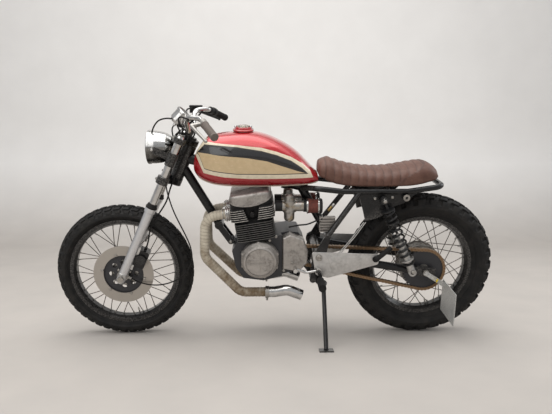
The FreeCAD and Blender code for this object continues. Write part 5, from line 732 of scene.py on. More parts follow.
def lamp_paint():
    """Chrome shell, darker and duller below a set height."""
    paint = Paint("lamp_chrome", (0.6, 0.595, 0.58), 1.0, 0.12)
    # Below about 0.86 to 0.9 m the chrome is mixed towards a dark grey and made rougher, in patches.
    lower_dull = paint.times(paint.spread(paint.axis("Z"), 0.855, 0.9, 1.0, 0.0),
                      paint.patches((50, 4, 0.6), 0.2, 0.6, 0.75, 1.0))
    spots = paint.patches((140, 4, 0.7), 0.5, 0.75)
    paint.set("Base Color", paint.mix(lower_dull, paint.mix(spots, (0.62, 0.615, 0.6), (0.4, 0.39, 0.37)),
                                      (0.075, 0.07, 0.064)))
    paint.set("Roughness", paint.spread(paint.math("ADD", lower_dull, spots), 0.0, 1.5, 0.1, 0.34))
    paint.bump(spots, 0.02, 0.0003)
    return paint.material


def glass_paint():
    """Faintly yellow fluted glass."""
    paint = Paint("lens_glass", (0.93, 0.91, 0.76), 0.0, 0.04, Transmission_Weight=0.92, IOR=1.45)
    flutes = paint.math("SINE", paint.times(paint.axis("Y"), 900.0))
    paint.bump(flutes, 0.5, 0.001)
    paint.set("Roughness", paint.patches((80, 4), 0.4, 0.8, 0.02, 0.16))
    return paint.material


GLASS = glass_paint()
YELLOW = rubbery("yellow_tag", (0.75, 0.55, 0.02), 0.5, dust_share=0.15)
DIAL = rubbery("dial_face", (0.2, 0.195, 0.19), 0.4, dust_share=0.3)


def blank_plate_paint():
    """A worn blank plate: pale, speckled, scuffed through to bare metal."""
    paint = Paint("blank_plate", (0.6, 0.6, 0.58), 0.4, 0.42)
    speckle = paint.patches((420, 3, 0.8), 0.5, 0.6)
    paint.set("Base Color", paint.mix(speckle, (0.62, 0.62, 0.6), (0.17, 0.17, 0.165)))
    paint.bump(speckle, 0.25, 0.0005)
    return paint.material


for plain_paint in (chain_paint, mesh_paint, carburettor_paint, damper_paint, lamp_paint, blank_plate_paint):
    plain_paint()

NODE_PAINTS = {
    "black_enamel": ("frame", "seat_rails", "swingarm", "shock_springs", "side_stand", "lower_yoke",
                     "upper_yoke", "headlamp_ears", "front_rim", "rear_rim", "brake_caliper"),
    "chrome_plate": ("handlebar", "fork_stanchions", "fuel_cap", "exhaust_tips", "speedometer",
                     "foot_levers"),
    "lamp_chrome": ("headlamp_shell",),
    "carburettor_cast": ("carburettors",),
    "damper_alloy": ("shock_dampers",),
    "zinc_steel": ("front_axle", "rear_axle", "pivot_bolt", "clutch_lever"),
    "fork_alloy": ("fork_sliders",),
    "cast_alloy": ("head_cover", "alternator_cover", "clutch_cover", "sprocket_cover",
                   "rear_brake_plate", "regulator"),
    "plate_alloy": ("peg_plates",),
    "engine_black": ("crankcase", "rear_sprocket", "disc_carrier"),
    "barrel_fins": ("cylinder_block",),
    "head_fins": ("cylinder_head",),
    "disc_steel": ("front_disc",),
    "tyre_rubber": ("front_tyre", "rear_tyre"),
    "black_rubber": ("footpegs", "brake_hose", "speedo_cable"),
    "grip_rubber": ("grips",),
    "moulded_plastic": ("brake_lever",),
    "brown_leather": ("seat",),
    "heat_wrap": ("exhaust_headers",),
    "filter_gauze": ("air_filters",),
    "lens_glass": ("headlamp_lens",),
    "blank_plate": ("number_plate",),
    "tank_paint": ("fuel_tank",),
    "chain_steel": ("drive_chain",),
}


def paint_nodes():
    chosen = {name: material for material, names in NODE_PAINTS.items() for name in names}
    for name, point, flange in (("front_hub", FRONT_POINT, 0.063), ("rear_hub", REAR_POINT, 0.103)):
        chosen[name] = hub_paint(name + "_alloy", point, flange, (0.5, 0.48, 0.45)).name
    for name, node in NODES.items():
        node.data.materials.clear()
        node.data.materials.append(bpy.data.materials[chosen[name]])


# Wheels

Tyre = namedtuple("Tyre", "crown_radius half bead_low bead_high bead_half depth")
SHOULDER_START, SHOULDER_TURN = 14, 10


def tyre_carcass(size):
    """The tyre's section without its tread, turned round the axle."""
    centre = size.crown_radius - size.half
    side = [(size.bead_low, size.bead_half - 2), (size.bead_low + 6, size.bead_half),
            (size.bead_high, size.bead_half)]
    for share in (0.08, 0.2, 0.34, 0.42, 0.45, 0.5, 0.53, 0.56, 0.72, 0.88):
        ridge = 1.3 if share in (0.45, 0.5) else -0.6
        bow = math.sin(math.pi * share) * 0.8
        side.append((size.bead_high + (centre - size.bead_high) * share,
                     size.bead_half + (size.half - size.bead_half) * share + bow + ridge))
    crown = []
    steps = 12
    for step in range(steps + 1):
        angle = math.radians(90 * step / steps)
        groove = min(1.0, max(0.0, (math.degrees(angle) - SHOULDER_START) / SHOULDER_TURN))
        reach = size.half - size.depth * groove
        crown.append((centre + reach * math.sin(angle), reach * math.cos(angle)))
    right = side + crown
    profile = right + [(radius, -across) for radius, across in reversed(right[:-1])]
    return turned(profile + profile[:1], 128)


def tread_block(size, across, around, skew):
    """One rubber block between two angles across the crown and two round the wheel."""
    centre = size.crown_radius - size.half
    points = []
    levels = ((-size.depth - 1.5, -0.04), (-1.6, 0.05), (-0.4, 0.09), (0.0, 0.18))
    for level, inset in levels:
        for side, end in ((0, 0), (0, 1), (1, 1), (1, 0)):
            share = inset + (1 - 2 * inset) * side
            length = inset + (1 - 2 * inset) * end
            tilt = math.radians(across[0] + (across[1] - across[0]) * share)
            angle = math.radians(around[0] + (around[1] - around[0]) * length + skew * share)
            reach = size.half + level
            radius = centre + reach * math.cos(tilt)
            points.append(Vector((radius * math.cos(angle), reach * math.sin(tilt),
                                  radius * math.sin(angle))))
    return points, [(12, 13, 14, 15)] + bands(len(levels), 4)


def tyre(name, body, wheel, size, pitches, rows):
    """Rows of tread blocks, each (low, high, start, end, skew) in degrees and shares of the pitch."""
    form = Form().add(tyre_carcass(size), RIGHTWARD)
    pitch = 360 / pitches
    for index in range(pitches):
        for low, high, start, end, skew in rows:
            for sign, offset, across in ((-1, 0.5, (-high, -low)), (1, 0.0, (low, high))):
                around = ((index + start + offset) * pitch, (index + end + offset) * pitch)
                form.add(tread_block(size, across, around, sign * skew))
    piece(name + "_dressed", form, TYRE, body, wheel, (name,), smooth=28)


SPOKES_A_SIDE, SPOKE_LEAD = 18, 62
DISC_SCREWS = 6


def wheels():
    front = Tyre(crown_radius=319, half=45, bead_low=241.3, bead_high=254.3, bead_half=27.7, depth=5.5)
    rear = Tyre(crown_radius=346, half=59, bead_low=228.9, bead_high=241.9, bead_half=33.7, depth=9)
    tyre("front_tyre", "front_wheel", FRONT, front, 46, (
        (2.5, 21, 0.05, 0.8, 2.2),
        (25, 46, 0.2, 0.88, 1.6),
        (50, 74, 0.06, 0.7, 0.4),
    ))
    tyre("rear_tyre", "rear_wheel", REAR, rear, 34, (
        (2, 17, 0.06, 0.78, 1.6),
        (21, 41, 0.3, 0.94, 1.2),
        (45, 76, 0.04, 0.72, 0.4),
    ))
    nipple = turned([(0, 11), (2.4, 11), (2.8, 9), (2.8, 3), (4, 2), (4, 0)], 8)
    valve = turned([(0, 30), (2.6, 30), (3, 28), (3, 14), (3.8, 13), (3.8, 0)], 12)
    for name, body, wheel, seat_radius in (
        ("front", "front_wheel", FRONT, 241), ("rear", "rear_wheel", REAR, 228.6),
    ):
        nipples = Form()
        for side in (-1, 1):
            for index in range(SPOKES_A_SIDE):
                lead = 1 if index % 2 else -1
                angle = 360 * (index + 0.25 * side) / SPOKES_A_SIDE + lead * SPOKE_LEAD
                aim = (-1, side * 0.1, -0.2 * lead)
                nipples.add(nipple, turn(-angle, "Y") @ pointing((seat_radius - 16, side * 5, 0), aim))
        nipples.add(valve, turn(77, "Y") @ pointing((seat_radius - 14, 0, 0), (-1, 0, 0)))
        piece(name + "_nipples", nipples, STEEL, body, wheel)
    disc_bolts = Form()
    for index in range(DISC_SCREWS):
        for start, out, across, radius in ((12, 98, -60, 6), (40, 30, -51, 6.5)):
            place = turn(60 * index + start, "Y") @ move(out, across, 0) @ LEFTWARD
            disc_bolts.add(bolt(radius), place)
    piece("disc_bolts", disc_bolts, STEEL, "front_wheel", FRONT)


# Tank and seat

TANK_SHARES = (
    (0.0, 0.42, 0.66, 0.3), (0.03, 0.2, 0.8, 0.5), (0.1, 0.08, 0.9, 0.7), (0.22, 0.02, 0.96, 0.93),
    (0.4, 0.0, 1.0, 1.0), (0.55, 0.0, 0.965, 1.0), (0.7, 0.005, 0.83, 0.95), (0.84, 0.02, 0.62, 0.84),
    (0.95, 0.05, 0.36, 0.7), (1.0, 0.08, 0.24, 0.58),
)
SEAT_SHARES = (
    (0.0, 0.3, 0.86, 0.62), (0.06, 0.17, 0.99, 0.78), (0.13, 0.07, 0.91, 0.88), (0.22, 0.015, 0.79, 0.94),
    (0.4, 0.0, 0.66, 1.0), (0.6, 0.0, 0.68, 1.0), (0.78, 0.04, 0.82, 0.97), (0.9, 0.13, 0.84, 0.86),
    (0.97, 0.2, 0.64, 0.66), (1.0, 0.26, 0.42, 0.5),
)


def spline(knots, values, places):
    """A natural cubic spline through the values, read at the places."""
    knots, values = np.array(knots, float), np.array(values, float)
    count = len(knots)
    gaps = np.diff(knots)
    system, right = np.eye(count), np.zeros((count, values.shape[1]))
    for index in range(1, count - 1):
        before, after = gaps[index - 1], gaps[index]
        system[index, index - 1:index + 2] = before, 2 * (before + after), after
        slopes = np.diff(values[index - 1:index + 2], axis=0) / gaps[index - 1:index + 1, None]
        right[index] = 6 * (slopes[1] - slopes[0])
    second = np.linalg.solve(system, right)
    found = []
    for place in places:
        index = min(max(int(np.searchsorted(knots, place)) - 1, 0), count - 2)
        gap = gaps[index]
        ahead, behind = (knots[index + 1] - place) / gap, (place - knots[index]) / gap
        found.append(
            ahead * values[index] + behind * values[index + 1]
            + ((ahead ** 3 - ahead) * second[index] + (behind ** 3 - behind) * second[index + 1])
            * gap ** 2 / 6
        )
    return np.array(found)


class Loft:
    """A smooth body of oval sections, as shares of its own length, height and width."""

    def __init__(self, front, length, base, height, half_width, shares, belt, upper, lower, shrink=0.0):
        table = np.array(shares) * (length, height, height, half_width) + (front, base, base, 0)
        table[:, 1] += shrink
        table[:, 2:] -= shrink
        self.steps = np.concatenate([[0], np.cumsum(np.linalg.norm(np.diff(table, axis=0), axis=1))])
        self.table = table
        self.belt, self.upper, self.lower = belt, upper, lower

    def sections(self, count):
        return spline(self.steps, self.table, np.linspace(0, self.steps[-1], count))

    def at(self, x):
        """The section whose own x is nearest the given x."""
        rows = self.sections(400)
        return rows[int(np.argmin(np.abs(rows[:, 0] - x)))]

    def ring(self, row, count):
        """Points evenly spaced round one section, from the middle of its underside."""
        x, low, high, wide = row
        belt = low + (high - low) * self.belt
        angles = np.linspace(-math.pi / 2, 1.5 * math.pi, 721)
        up = np.sin(angles)
        power = np.where(up > 0, self.upper, self.lower)
        across = np.sign(np.cos(angles)) * np.abs(np.cos(angles)) ** (2 / power) * wide
        rise = np.sign(up) * np.abs(up) ** (2 / power) * np.where(up > 0, high - belt, belt - low) + belt
        run = np.concatenate([[0], np.cumsum(np.hypot(np.diff(across), np.diff(rise)))])
        places = np.linspace(0, run[-1], count, endpoint=False)
        return np.stack([np.full(count, x), np.interp(places, run, across), np.interp(places, run, rise)], 1)


def skin(rows):
    """Joins rings of points into one closed skin, with a fan over each end."""
    count = len(rows[0])
    points = [Vector(point) for row in rows for point in row]
    faces = bands(len(rows), count)
    for start, order in ((0, -1), ((len(rows) - 1) * count, 1)):
        middle = len(points)
        points.append(sum((points[start + step] for step in range(count)), Vector()) / count)
        for step in range(count):
            after = (step + order) % count
            faces.append((start + step, start + after, middle))
    return points, faces


def end_rings(row, bulge, count):
    """Rings that close an end: each smaller than the last and further out."""
    middle = row.mean(axis=0)
    rings = []
    for step in range(1, count):
        share = step / count
        ring = middle + (row - middle) * math.cos(share * math.pi / 2) ** 0.8
        ring[:, 0] = row[:, 0] + bulge * math.sin(share * math.pi / 2)
        rings.append(ring)
    return rings


HEAD_LEAD = 45
HEAD_FOOT = FORK @ Vector((HEAD_LEAD, 0, 0))
HEAD_UP = (FORK.to_3x3() @ Vector((0, 0, 1))).normalized()
BACKBONE = (FORK @ Vector((HEAD_LEAD, 0, 611.8)), Vector((150, 0, 722)))
TUNNEL_RADIUS, HEAD_HOLLOW = 32, 72
CAP_X = -137


def tank():
    """The tank's skin, with its tunnel over the backbone and its hollow for the turning yokes."""
    loft = Loft(front=-365, length=560, base=737, height=241, half_width=126, shares=TANK_SHARES,
                belt=0.45, upper=2.6, lower=3.2)
    rows = [loft.ring(row, 112) for row in loft.sections(120)]
    rows = end_rings(rows[0], -1.0, 7)[::-1] + rows + end_rings(rows[-1], 1.0, 7)
    start, end = BACKBONE
    for row in rows:
        for point in row:
            x, y, z = point
            middle = start.z + (end.z - start.z) * (x - start.x) / (end.x - start.x)
            if abs(y) < TUNNEL_RADIUS and z < middle + 60:
                point[2] = max(z, middle + math.sqrt(max(0.0, TUNNEL_RADIUS ** 2 - y * y)))
            near = HEAD_FOOT + HEAD_UP * (Vector(point) - HEAD_FOOT).dot(HEAD_UP)
            away = Vector(point) - near
            if away.length < HEAD_HOLLOW and x > near.x - 40:
                point[0] = max(x, near.x + math.sqrt(max(0.0, HEAD_HOLLOW ** 2 - away.y ** 2)))
    form = Form().add(skin(rows))
    form.add(turned([(0, 0), (40, 0), (40, 26), (0, 26)], 40), move(CAP_X, 0, 953))
    piece("tank_dressed", form, TANK, "chassis", replaces=("fuel_tank",), smooth=50)
    line = []
    for x in np.linspace(-338, 190, 56):
        section = loft.at(x)
        ring = loft.ring(section, 200)
        apart = np.abs(ring[:, 2] - (section[1] + 9)) + (ring[:, 1] < 0) * 1e3
        line.append(Vector(ring[np.argmin(apart)]) + Vector((0, 1.5, -1.5)))
    seam = Form().both(swept(line, 2.6, 8, squash=0.6))
    piece("tank_seam", seam, CREAM, "chassis")


def fuel_cap():
    """A red base, a clear dome and its two chrome thumb knobs."""
    base = move(CAP_X, 0, 979.3)
    form = Form()
    form.add(turned([(47, 0), (47, 4), (45, 6), (38, 8), (37, 14), (34, 17), (0, 17)], 56), base)
    form.add(turned([(24, 17), (24, 19), (20, 21), (0, 21)], 40), base, 1)
    for side in (-1, 1):
        place = base @ move(side * 34, 0, 15)
        form.add(turned([(0, 8), (5, 8), (6.5, 6), (7, 1), (5, -1), (4, -5)], 20), place, 1)
        form.add(block(10, 5, 3, 1), base @ move(side * 40, 0, 9), 1)
    piece("fuel_cap_dressed", form, [RED, CHROME], "chassis", replaces=("fuel_cap",))
    dome = Form()
    dome.add(turned([(30, 17.2), (30, 19), (27, 23), (18, 25.4), (0, 26)], 40), base)
    piece("fuel_cap_glass", dome, GLASS, "chassis")


SEAT_FRONT, SEAT_LENGTH, SEAT_BASE = 203.0, 537.0, 741
SEAT_ROLLS, FIRST_SEAM, LAST_SEAM = 13, 0.045, 0.93
SEAM_WIDTH, PIPING_WIDTH = 2.2, 2.6
ROLL_HEIGHT, ROLL_REACH, SEAM_DEPTH, PIPING_HEIGHT = 4.6, 18, 3.2, 1.6
SKIRT_HELD, SKIRT_BARE, SLANT_UNDER, SLANT = 9, 14, 60, 0.12
SWELL_CAP, CLOTH_FRAMES = 7.0, 20
TAIL_PANEL_EDGE = ((8, 540), (45, 576), (78, 640), (108, 681))


def seat():
    """A pleated hide over foam: the seams are held and air pressure swells the rolls between."""
    loft = Loft(front=SEAT_FRONT, length=SEAT_LENGTH, base=SEAT_BASE, height=126, half_width=122,
                shares=SEAT_SHARES, belt=0.3, upper=2.6, lower=7.0, shrink=5.0)
    rows = [loft.ring(row, 84) for row in loft.sections(150)]
    rows = end_rings(rows[0], -3.0, 6)[::-1] + rows + end_rings(rows[-1], 3.0, 6)
    thing = piece("seat_cover", Form().add(skin(rows)), LEATHER, "chassis", replaces=("seat",),
                  smooth=0)
    mesh = thing.data
    points = np.array([vert.co for vert in mesh.vertices]) / MM
    seams = np.linspace(FIRST_SEAM, LAST_SEAM, SEAT_ROLLS + 1) * SEAT_LENGTH + SEAT_FRONT
    low = points[:, 2] - SEAT_BASE
    slanted = points[:, 0] + np.clip(SLANT_UNDER - low, 0, SLANT_UNDER) * SLANT
    gap = np.min(np.abs(slanted[:, None] - seams[None, :]), axis=1)
    panel_edge = np.interp(low, *zip(*TAIL_PANEL_EDGE))
    smooth_panel = points[:, 0] > panel_edge
    piping = np.exp(-((points[:, 0] - panel_edge) * 0.6 / PIPING_WIDTH) ** 2)
    seam = np.maximum(np.where(smooth_panel, 0.0, np.exp(-(gap / SEAM_WIDTH) ** 2)), piping)
    seam[low < SKIRT_BARE] = 0.0
    held = np.maximum(np.clip(seam * 1.4, 0, 1), (low < SKIRT_HELD).astype(float))
    group = thing.vertex_groups.new(name="held")
    for index, weight in enumerate(held):
        group.add([index], float(weight), "REPLACE")
    normals = np.array([vert.normal for vert in mesh.vertices])
    points = swell(thing, points)
    roll = np.where(smooth_panel, 1.0, np.sqrt(np.clip(gap / ROLL_REACH, 0, 1)))
    raised = roll * ROLL_HEIGHT - SEAM_DEPTH + piping * PIPING_HEIGHT
    raised *= np.clip((low - 8) / 20, 0, 1)
    mesh.vertices.foreach_set("co", ((points + normals * raised[:, None]) * MM).ravel())
    mesh.update()
    point_attribute(thing, "seam", seam)
    mesh.shade_smooth()
    subdivision = thing.modifiers.new("fine", "SUBSURF")
    subdivision.levels = subdivision.render_levels = 1


def swell(thing, points):
    """Runs the cloth under pressure and gives its points, each moved no further than the cap."""
    mesh = thing.data
    cloth = thing.modifiers.new("cloth", "CLOTH")
    settings = cloth.settings
    settings.quality = 6
    settings.mass = 0.3
    settings.tension_stiffness = settings.compression_stiffness = 18
    settings.bending_stiffness = 0.6
    settings.use_pressure = True
    settings.uniform_pressure_force = 4.5
    settings.effector_weights.gravity = 0
    settings.vertex_group_mass = "held"
    cloth.collision_settings.use_collision = False
    scene = bpy.context.scene
    for number in range(1, CLOTH_FRAMES + 1):
        scene.frame_set(number)
    shown = thing.evaluated_get(bpy.context.evaluated_depsgraph_get())
    moved = np.array([vert.co for vert in shown.data.vertices]) / MM
    thing.modifiers.remove(cloth)
    scene.frame_set(1)
    shift = moved - points
    length = np.linalg.norm(shift, axis=1, keepdims=True)
    return points + shift * np.minimum(1.0, SWELL_CAP / np.maximum(length, 1e-9))


# Exhaust

HEAD_BASE = 88 + 94 + 0.6
PORT_HEIGHT = HEAD_BASE + 31
COVER_HEIGHT = HEAD_BASE + 68.5
PORT = CYLINDERS @ Vector((-106.3, -62, PORT_HEIGHT))
PORT_FORWARD = CYLINDERS.to_3x3() @ Vector((-1, 0, 0))
PIPE_Y, PIPE_Z, PIPE_BEND, PIPE_RADIUS = -112, 252, 64, 20.4
BAND_WIDTH, BAND_STEPS, BAND_LIFT = 15.0, 40, 1.7
LAP_EDGE = 0.06


def point_attribute(thing, name, values):
    layer = thing.data.attributes.new(name, "FLOAT", "POINT")
    layer.data.foreach_set("value", values.astype(np.float32))


def exhausts():
    """Wrapped headers: a woven band wound on in a spiral, each turn lapping the last."""
    port, forward = PORT, PORT_FORWARD
    path = [port + forward * 12, port + forward * 112, Vector((port.x - 112, -100.8, 420)),
            Vector((-152, PIPE_Y, PIPE_Z)), Vector((-38, PIPE_Y, PIPE_Z))]
    line = bent_line(path, PIPE_BEND, 2.0)

    def reach(along, angle):
        phase = (along / BAND_WIDTH + angle / (2 * math.pi)) % 1.0
        lap = BAND_LIFT * phase ** 0.7 - 1.2 * max(0.0, phase - 0.93) / 0.07
        return PIPE_RADIUS + lap + 0.2 * math.sin(along * 0.9 + angle * 3)

    form = Form().both(swept(line, reach, BAND_STEPS))
    thing = piece("header_wrap", form, WRAP, "chassis", replaces=("exhaust_headers",),
                  smooth=60)
    lengths = lengths_along(line)
    angles = np.arange(BAND_STEPS) / BAND_STEPS
    phase = (lengths[:, None] / BAND_WIDTH + angles[None, :]) % 1.0
    edge = np.exp(-(np.minimum(phase, 1 - phase) / LAP_EDGE) ** 2).ravel()
    threads = np.sin(angles[None, :] * BAND_STEPS * math.pi / 2)
    weave = (np.sin(lengths[:, None] * 2.2) * threads).ravel()
    point_attribute(thing, "seam", np.concatenate([edge, edge]))
    point_attribute(thing, "weave", np.concatenate([weave, weave]))
    collars = Form()
    for index in range(2):
        disc = turned([(20, 0), (32.5, 0), (34, 0.8), (34, 4.2), (32.5, 5), (20, 5)], 44)
        collars.both(disc, pointing(port + forward * 9 * index, forward))
    collars.both(turned([(22, -0.3), (27, -0.3), (27, 16), (22, 18)], 40), pointing(port, forward))
    upwards = forward.cross(Vector((0, 1, 0))).normalized()
    for sign in (-1, 1):
        foot = port + upwards * sign * 27.8
        collars.both(turned([(0, 26), (3.4, 26), (4, 25.4), (4, -4)], 14), pointing(foot, forward))
        collars.both(bolt(7, 6), pointing(foot + forward * 14.6, forward))
    piece("port_collars", collars, BRIGHT, "chassis")
    clamps = Form()
    clamps.both(turned([(20, 0), (25.6, 0), (27, 1.2), (27, 16.8), (25.6, 18), (20, 18)], 44),
                pointing((-40, PIPE_Y, PIPE_Z), (1, 0, 0)))
    clamps.both(block(9, 9, 20, 1.2), move(-31, PIPE_Y, 221))
    clamps.both(bolt(5.5, 5), move(-31, -116.4, 218) @ LEFTWARD)
    clamps.both(turned([(20.5, 0), (23.4, 0.4), (23.4, 4.6), (20.5, 5)], 40), pointing(line[6], forward))
    piece("header_clamps", clamps, STEEL, "chassis")


# Engine

HEAD_SPREAD, COVER_BOW = 126, 195
COVER_BOLTS = ((-80, 104), (-34, 119.5), (34, 119.5), (80, 104))
SIDE_SCREWS = ((45, -44), (108, -58), (146, -22), (150, 32), (130, 80), (72, 104), (44, 86))
ALTERNATOR_SCREWS = (20, 95, 160, 200, 285, 335)


def engine():
    """Screws, plugs and caps on the engine's castings."""
    caps = Form()
    for side in (-1, 1):
        plug = pointing(CYLINDERS @ Vector((0, side * HEAD_SPREAD, PORT_HEIGHT)), (0, side, 0))
        caps.add(turned([(0, 14), (9.2, 14), (9.8, 13), (9.8, 2), (7, 0)], 6), plug, 1)
        caps.add(turned([(0, 34), (7, 34), (8.4, 32), (9.2, 24), (9.2, 13), (0, 13)], 24), plug)
    piece("plug_caps", caps, [RUBBER, STEEL], "chassis")
    bolts = Form()
    for across, out in COVER_BOLTS:
        rise = COVER_BOW - math.sqrt(COVER_BOW ** 2 - across ** 2)
        for side in (-1, 1):
            bolts.add(bolt(5.2), CYLINDERS @ move(across, side * out, COVER_HEIGHT + rise))
    for across, up in SIDE_SCREWS:
        bolts.add(socket(6), CRANK @ move(across, -121.8, up) @ LEFTWARD)
    piece("engine_bolts", bolts, STEEL, "chassis")
    screws = Form()
    for angle in ALTERNATOR_SCREWS:
        place = CRANK @ turn(-angle, "Y") @ move(80, -140, 0)
        screws.add(turned([(0, 9), (7.5, 9), (8.5, 7), (8.5, -30)], 20), place @ LEFTWARD)
        screws.add(socket(5.5), place @ move(0, -8.5, 0) @ LEFTWARD, 1)
    piece("alternator_screws", screws, [ALLOY, STEEL], "chassis")


# Fork and bars

FORK_SPAN, FORK_TOP, YOKE_LEVELS = 95, 709.6, (494, 690)
CLAMP_OUT, CLAMP_SPAN, CLAMP_TOP = 22.5, 48, 749
GRIP_LENGTH, GRIP_RIBS = 108, 24
BAR_ORIGIN = FORK @ Vector((CLAMP_OUT, 0, 736))
GRIP_START = BAR_ORIGIN + Vector((60, 200, 75))
GRIP_END = BAR_ORIGIN + Vector((130, 350, 20))
LEVER_PERCH = BAR_ORIGIN + Vector((72, -214, 70))


def mirrored(point):
    return Vector((point[0], -point[1], point[2]))


def on_fork(*points):
    return [FORK @ Vector(point) for point in points]


def on_bar(*points):
    return [BAR_ORIGIN + Vector(point) for point in points]


def grips():
    """Ribbed sleeves: the left one grey with use, the right one black."""
    along = (GRIP_END - GRIP_START).normalized()
    base = GRIP_END - along * GRIP_LENGTH
    profile = [(11.6, 0), (16.6, 0), (17, 1), (17, 4), (15.6, 5.5)]
    for step in range(GRIP_RIBS):
        height = 8 + 4 * step
        profile += [(15.2, height - 0.8), (15.9, height), (15.9, height + 1.6), (15.2, height + 2.4)]
    profile += [(15.6, 106), (16.8, 108), (17, 110), (16.4, 113.2), (14, 114), (0, 114)]
    form = Form()
    form.add(turned(profile, 36), pointing(base, along), 1)
    form.add(turned(profile, 36), pointing(mirrored(base), mirrored(along)))
    piece("grips_ribbed", form, [GRIP, RUBBER], "steering", replaces=("grips",))


def cockpit():
    """The dial's blank face, the bar's clamp screws and the cap nuts of the fork."""
    top = FORK @ move(-25, -48, 804) @ turn(20, "Y")
    face = Form().add(turned([(35.2, -5.2), (34.6, -4.4), (0, -4.4)], 48), top)
    rim = [(35.4, -5), (35.2, 0.4), (36.2, 1.8), (39, 2), (40.6, 0.8), (40.9, -2), (40.9, -9), (40, -9.6)]
    dial = Form().add(turned(rim, 56), top)
    dial.add(turned([(0, -1.6), (2.6, -1.8), (3, -4.4)], 16), top)
    dial.add(block(22, 1.2, 0.6, 0.2), top @ turn(-130, "Z") @ move(11, 0, -2.6))
    piece("dial_face", face, DIAL, "steering")
    piece("dial_rim", dial, CHROME, "steering")
    bolts, seals, legs = Form(), Form(), Form()
    seal = turned([(16.6, 361), (24.8, 361), (25.4, 363), (25.4, 368), (22.5, 371), (21.5, 378),
                   (18.5, 383), (16.8, 384)], 40)
    for side in (-1, 1):
        for shift in (-11.25, 11.25):
            bolts.add(socket(4.4, 5), FORK @ move(CLAMP_OUT + shift, side * CLAMP_SPAN, CLAMP_TOP))
        leg = FORK @ move(0, side * FORK_SPAN, 0)
        bolts.add(turned([(0, 7), (8, 7), (9.4, 6), (9.6, 0)], 6), leg @ move(0, 0, FORK_TOP))
        for height in YOKE_LEVELS:
            place = FORK @ move(-27.5, side * 90, height) @ turn(-90, "Y")
            bolts.add(turned([(8.6, -6), (8.6, 1), (7.6, 2)], 24), place)
            bolts.add(socket(4.6, 5), place @ move(0, 0, 1.6))
        seals.add(seal, leg)
        legs.add(turned([(21, 8), (22.6, 10), (22.6, 22), (21, 24)], 36), leg)
        legs.add(block(16, 9, 40, 2), leg @ move(22, 0, 150))
        legs.add(block(16, 9, 26, 2), leg @ move(22, 0, 66))
        legs.add(socket(4.5, 5), leg @ move(0, side * 20.6, -8) @ (RIGHTWARD if side > 0 else LEFTWARD))
    piece("fork_screws", bolts, STEEL, "steering")
    piece("fork_seals", seals, RUBBER, "steering")
    piece("fork_lugs", legs, FORK_ALLOY, "steering")


def front_cables():
    """Looms and cables that turn with the bars; all stay on the steering."""
    perch = [LEVER_PERCH + Vector(point) for point in ((-54, -4, 2), (-92, 26, 8), (-106, 76, -18))]
    clutch = perch + on_fork((-6, -74, 734), (-2, -66, 680), (-4, -60, 610), (-2, -50, 548), (6, -40, 516))
    loop = on_fork((-18, -26, 716), (-66, -30, 752), (-118, -34, 724), (-128, -34, 668),
                   (-104, -28, 622), (-78, -20, 596))
    form = Form()
    form.add(swept(smooth_line(clutch, 70), 3.2, 12))
    form.add(swept(smooth_line(loop, 60), 3.4, 12))
    for start, side, up in ((GRIP_START + Vector((-20, -14, -2)), 1, 0),
                            (mirrored(GRIP_START) + Vector((-16, 20, -2)), -1, 8)):
        loom = [start] + on_bar((8, side * 128, 34 + up), (-16, side * 76, -6))
        loom += on_fork((-24, side * 42, 706), (-34, side * 30, 640 + up), (-52, side * 16, 592 + up))
        form.add(swept(smooth_line(loom, 60), 4.2, 12))
    piece("front_cables", form, RUBBER, "steering")
    lamp_bolts = Form()
    for side in (-1, 1):
        lamp_bolts.add(bolt(7, 7), pointing((-532, side * 79, 905), (0, side, 0)))
    piece("lamp_bolts", lamp_bolts, CHROME, "steering")


# Frame trim

SHOCK_Y = -146
SHOCK_TOP = Vector((480, SHOCK_Y, 694))
SHOCK_FOOT_X = 626
PIVOT = Vector((200, 0, 430))
PLATE_SPAN = 269.8
CHAIN_PITCH, FRONT_TEETH, REAR_TEETH = 15.875, 16, 38
CHAIN_OUTSIDE, CHAIN_INSIDE = -91, -73
OUTPUT_SHAFT = Vector((110, 0, 425))


def frame_trim():
    """The bolts of the frame, the shocks and the engine's mounts, and the ring on each rear boss."""
    bolts = Form()
    for x, z in ((445, 697), (485, 682), (521, 702)):
        bolts.both(bolt(7), move(x, -118.5, z) @ LEFTWARD)
    ring = turned([(6, 0), (13.5, 0), (13.5, -1), (15, 0.4), (15, 3), (6, 3)], 30)
    bolts.both(ring, move(581, -134, 703) @ LEFTWARD)
    for radius, height, spot in ((9, None, (-198, -32, 470)), (9, None, (144, -32, 366)),
                                 (9, 8, (480, -162, 694)), (10, 9, (626, -162, 367))):
        bolts.both(bolt(radius, height), move(*spot) @ LEFTWARD)
    piece("frame_bolts", bolts, STEEL, "chassis")


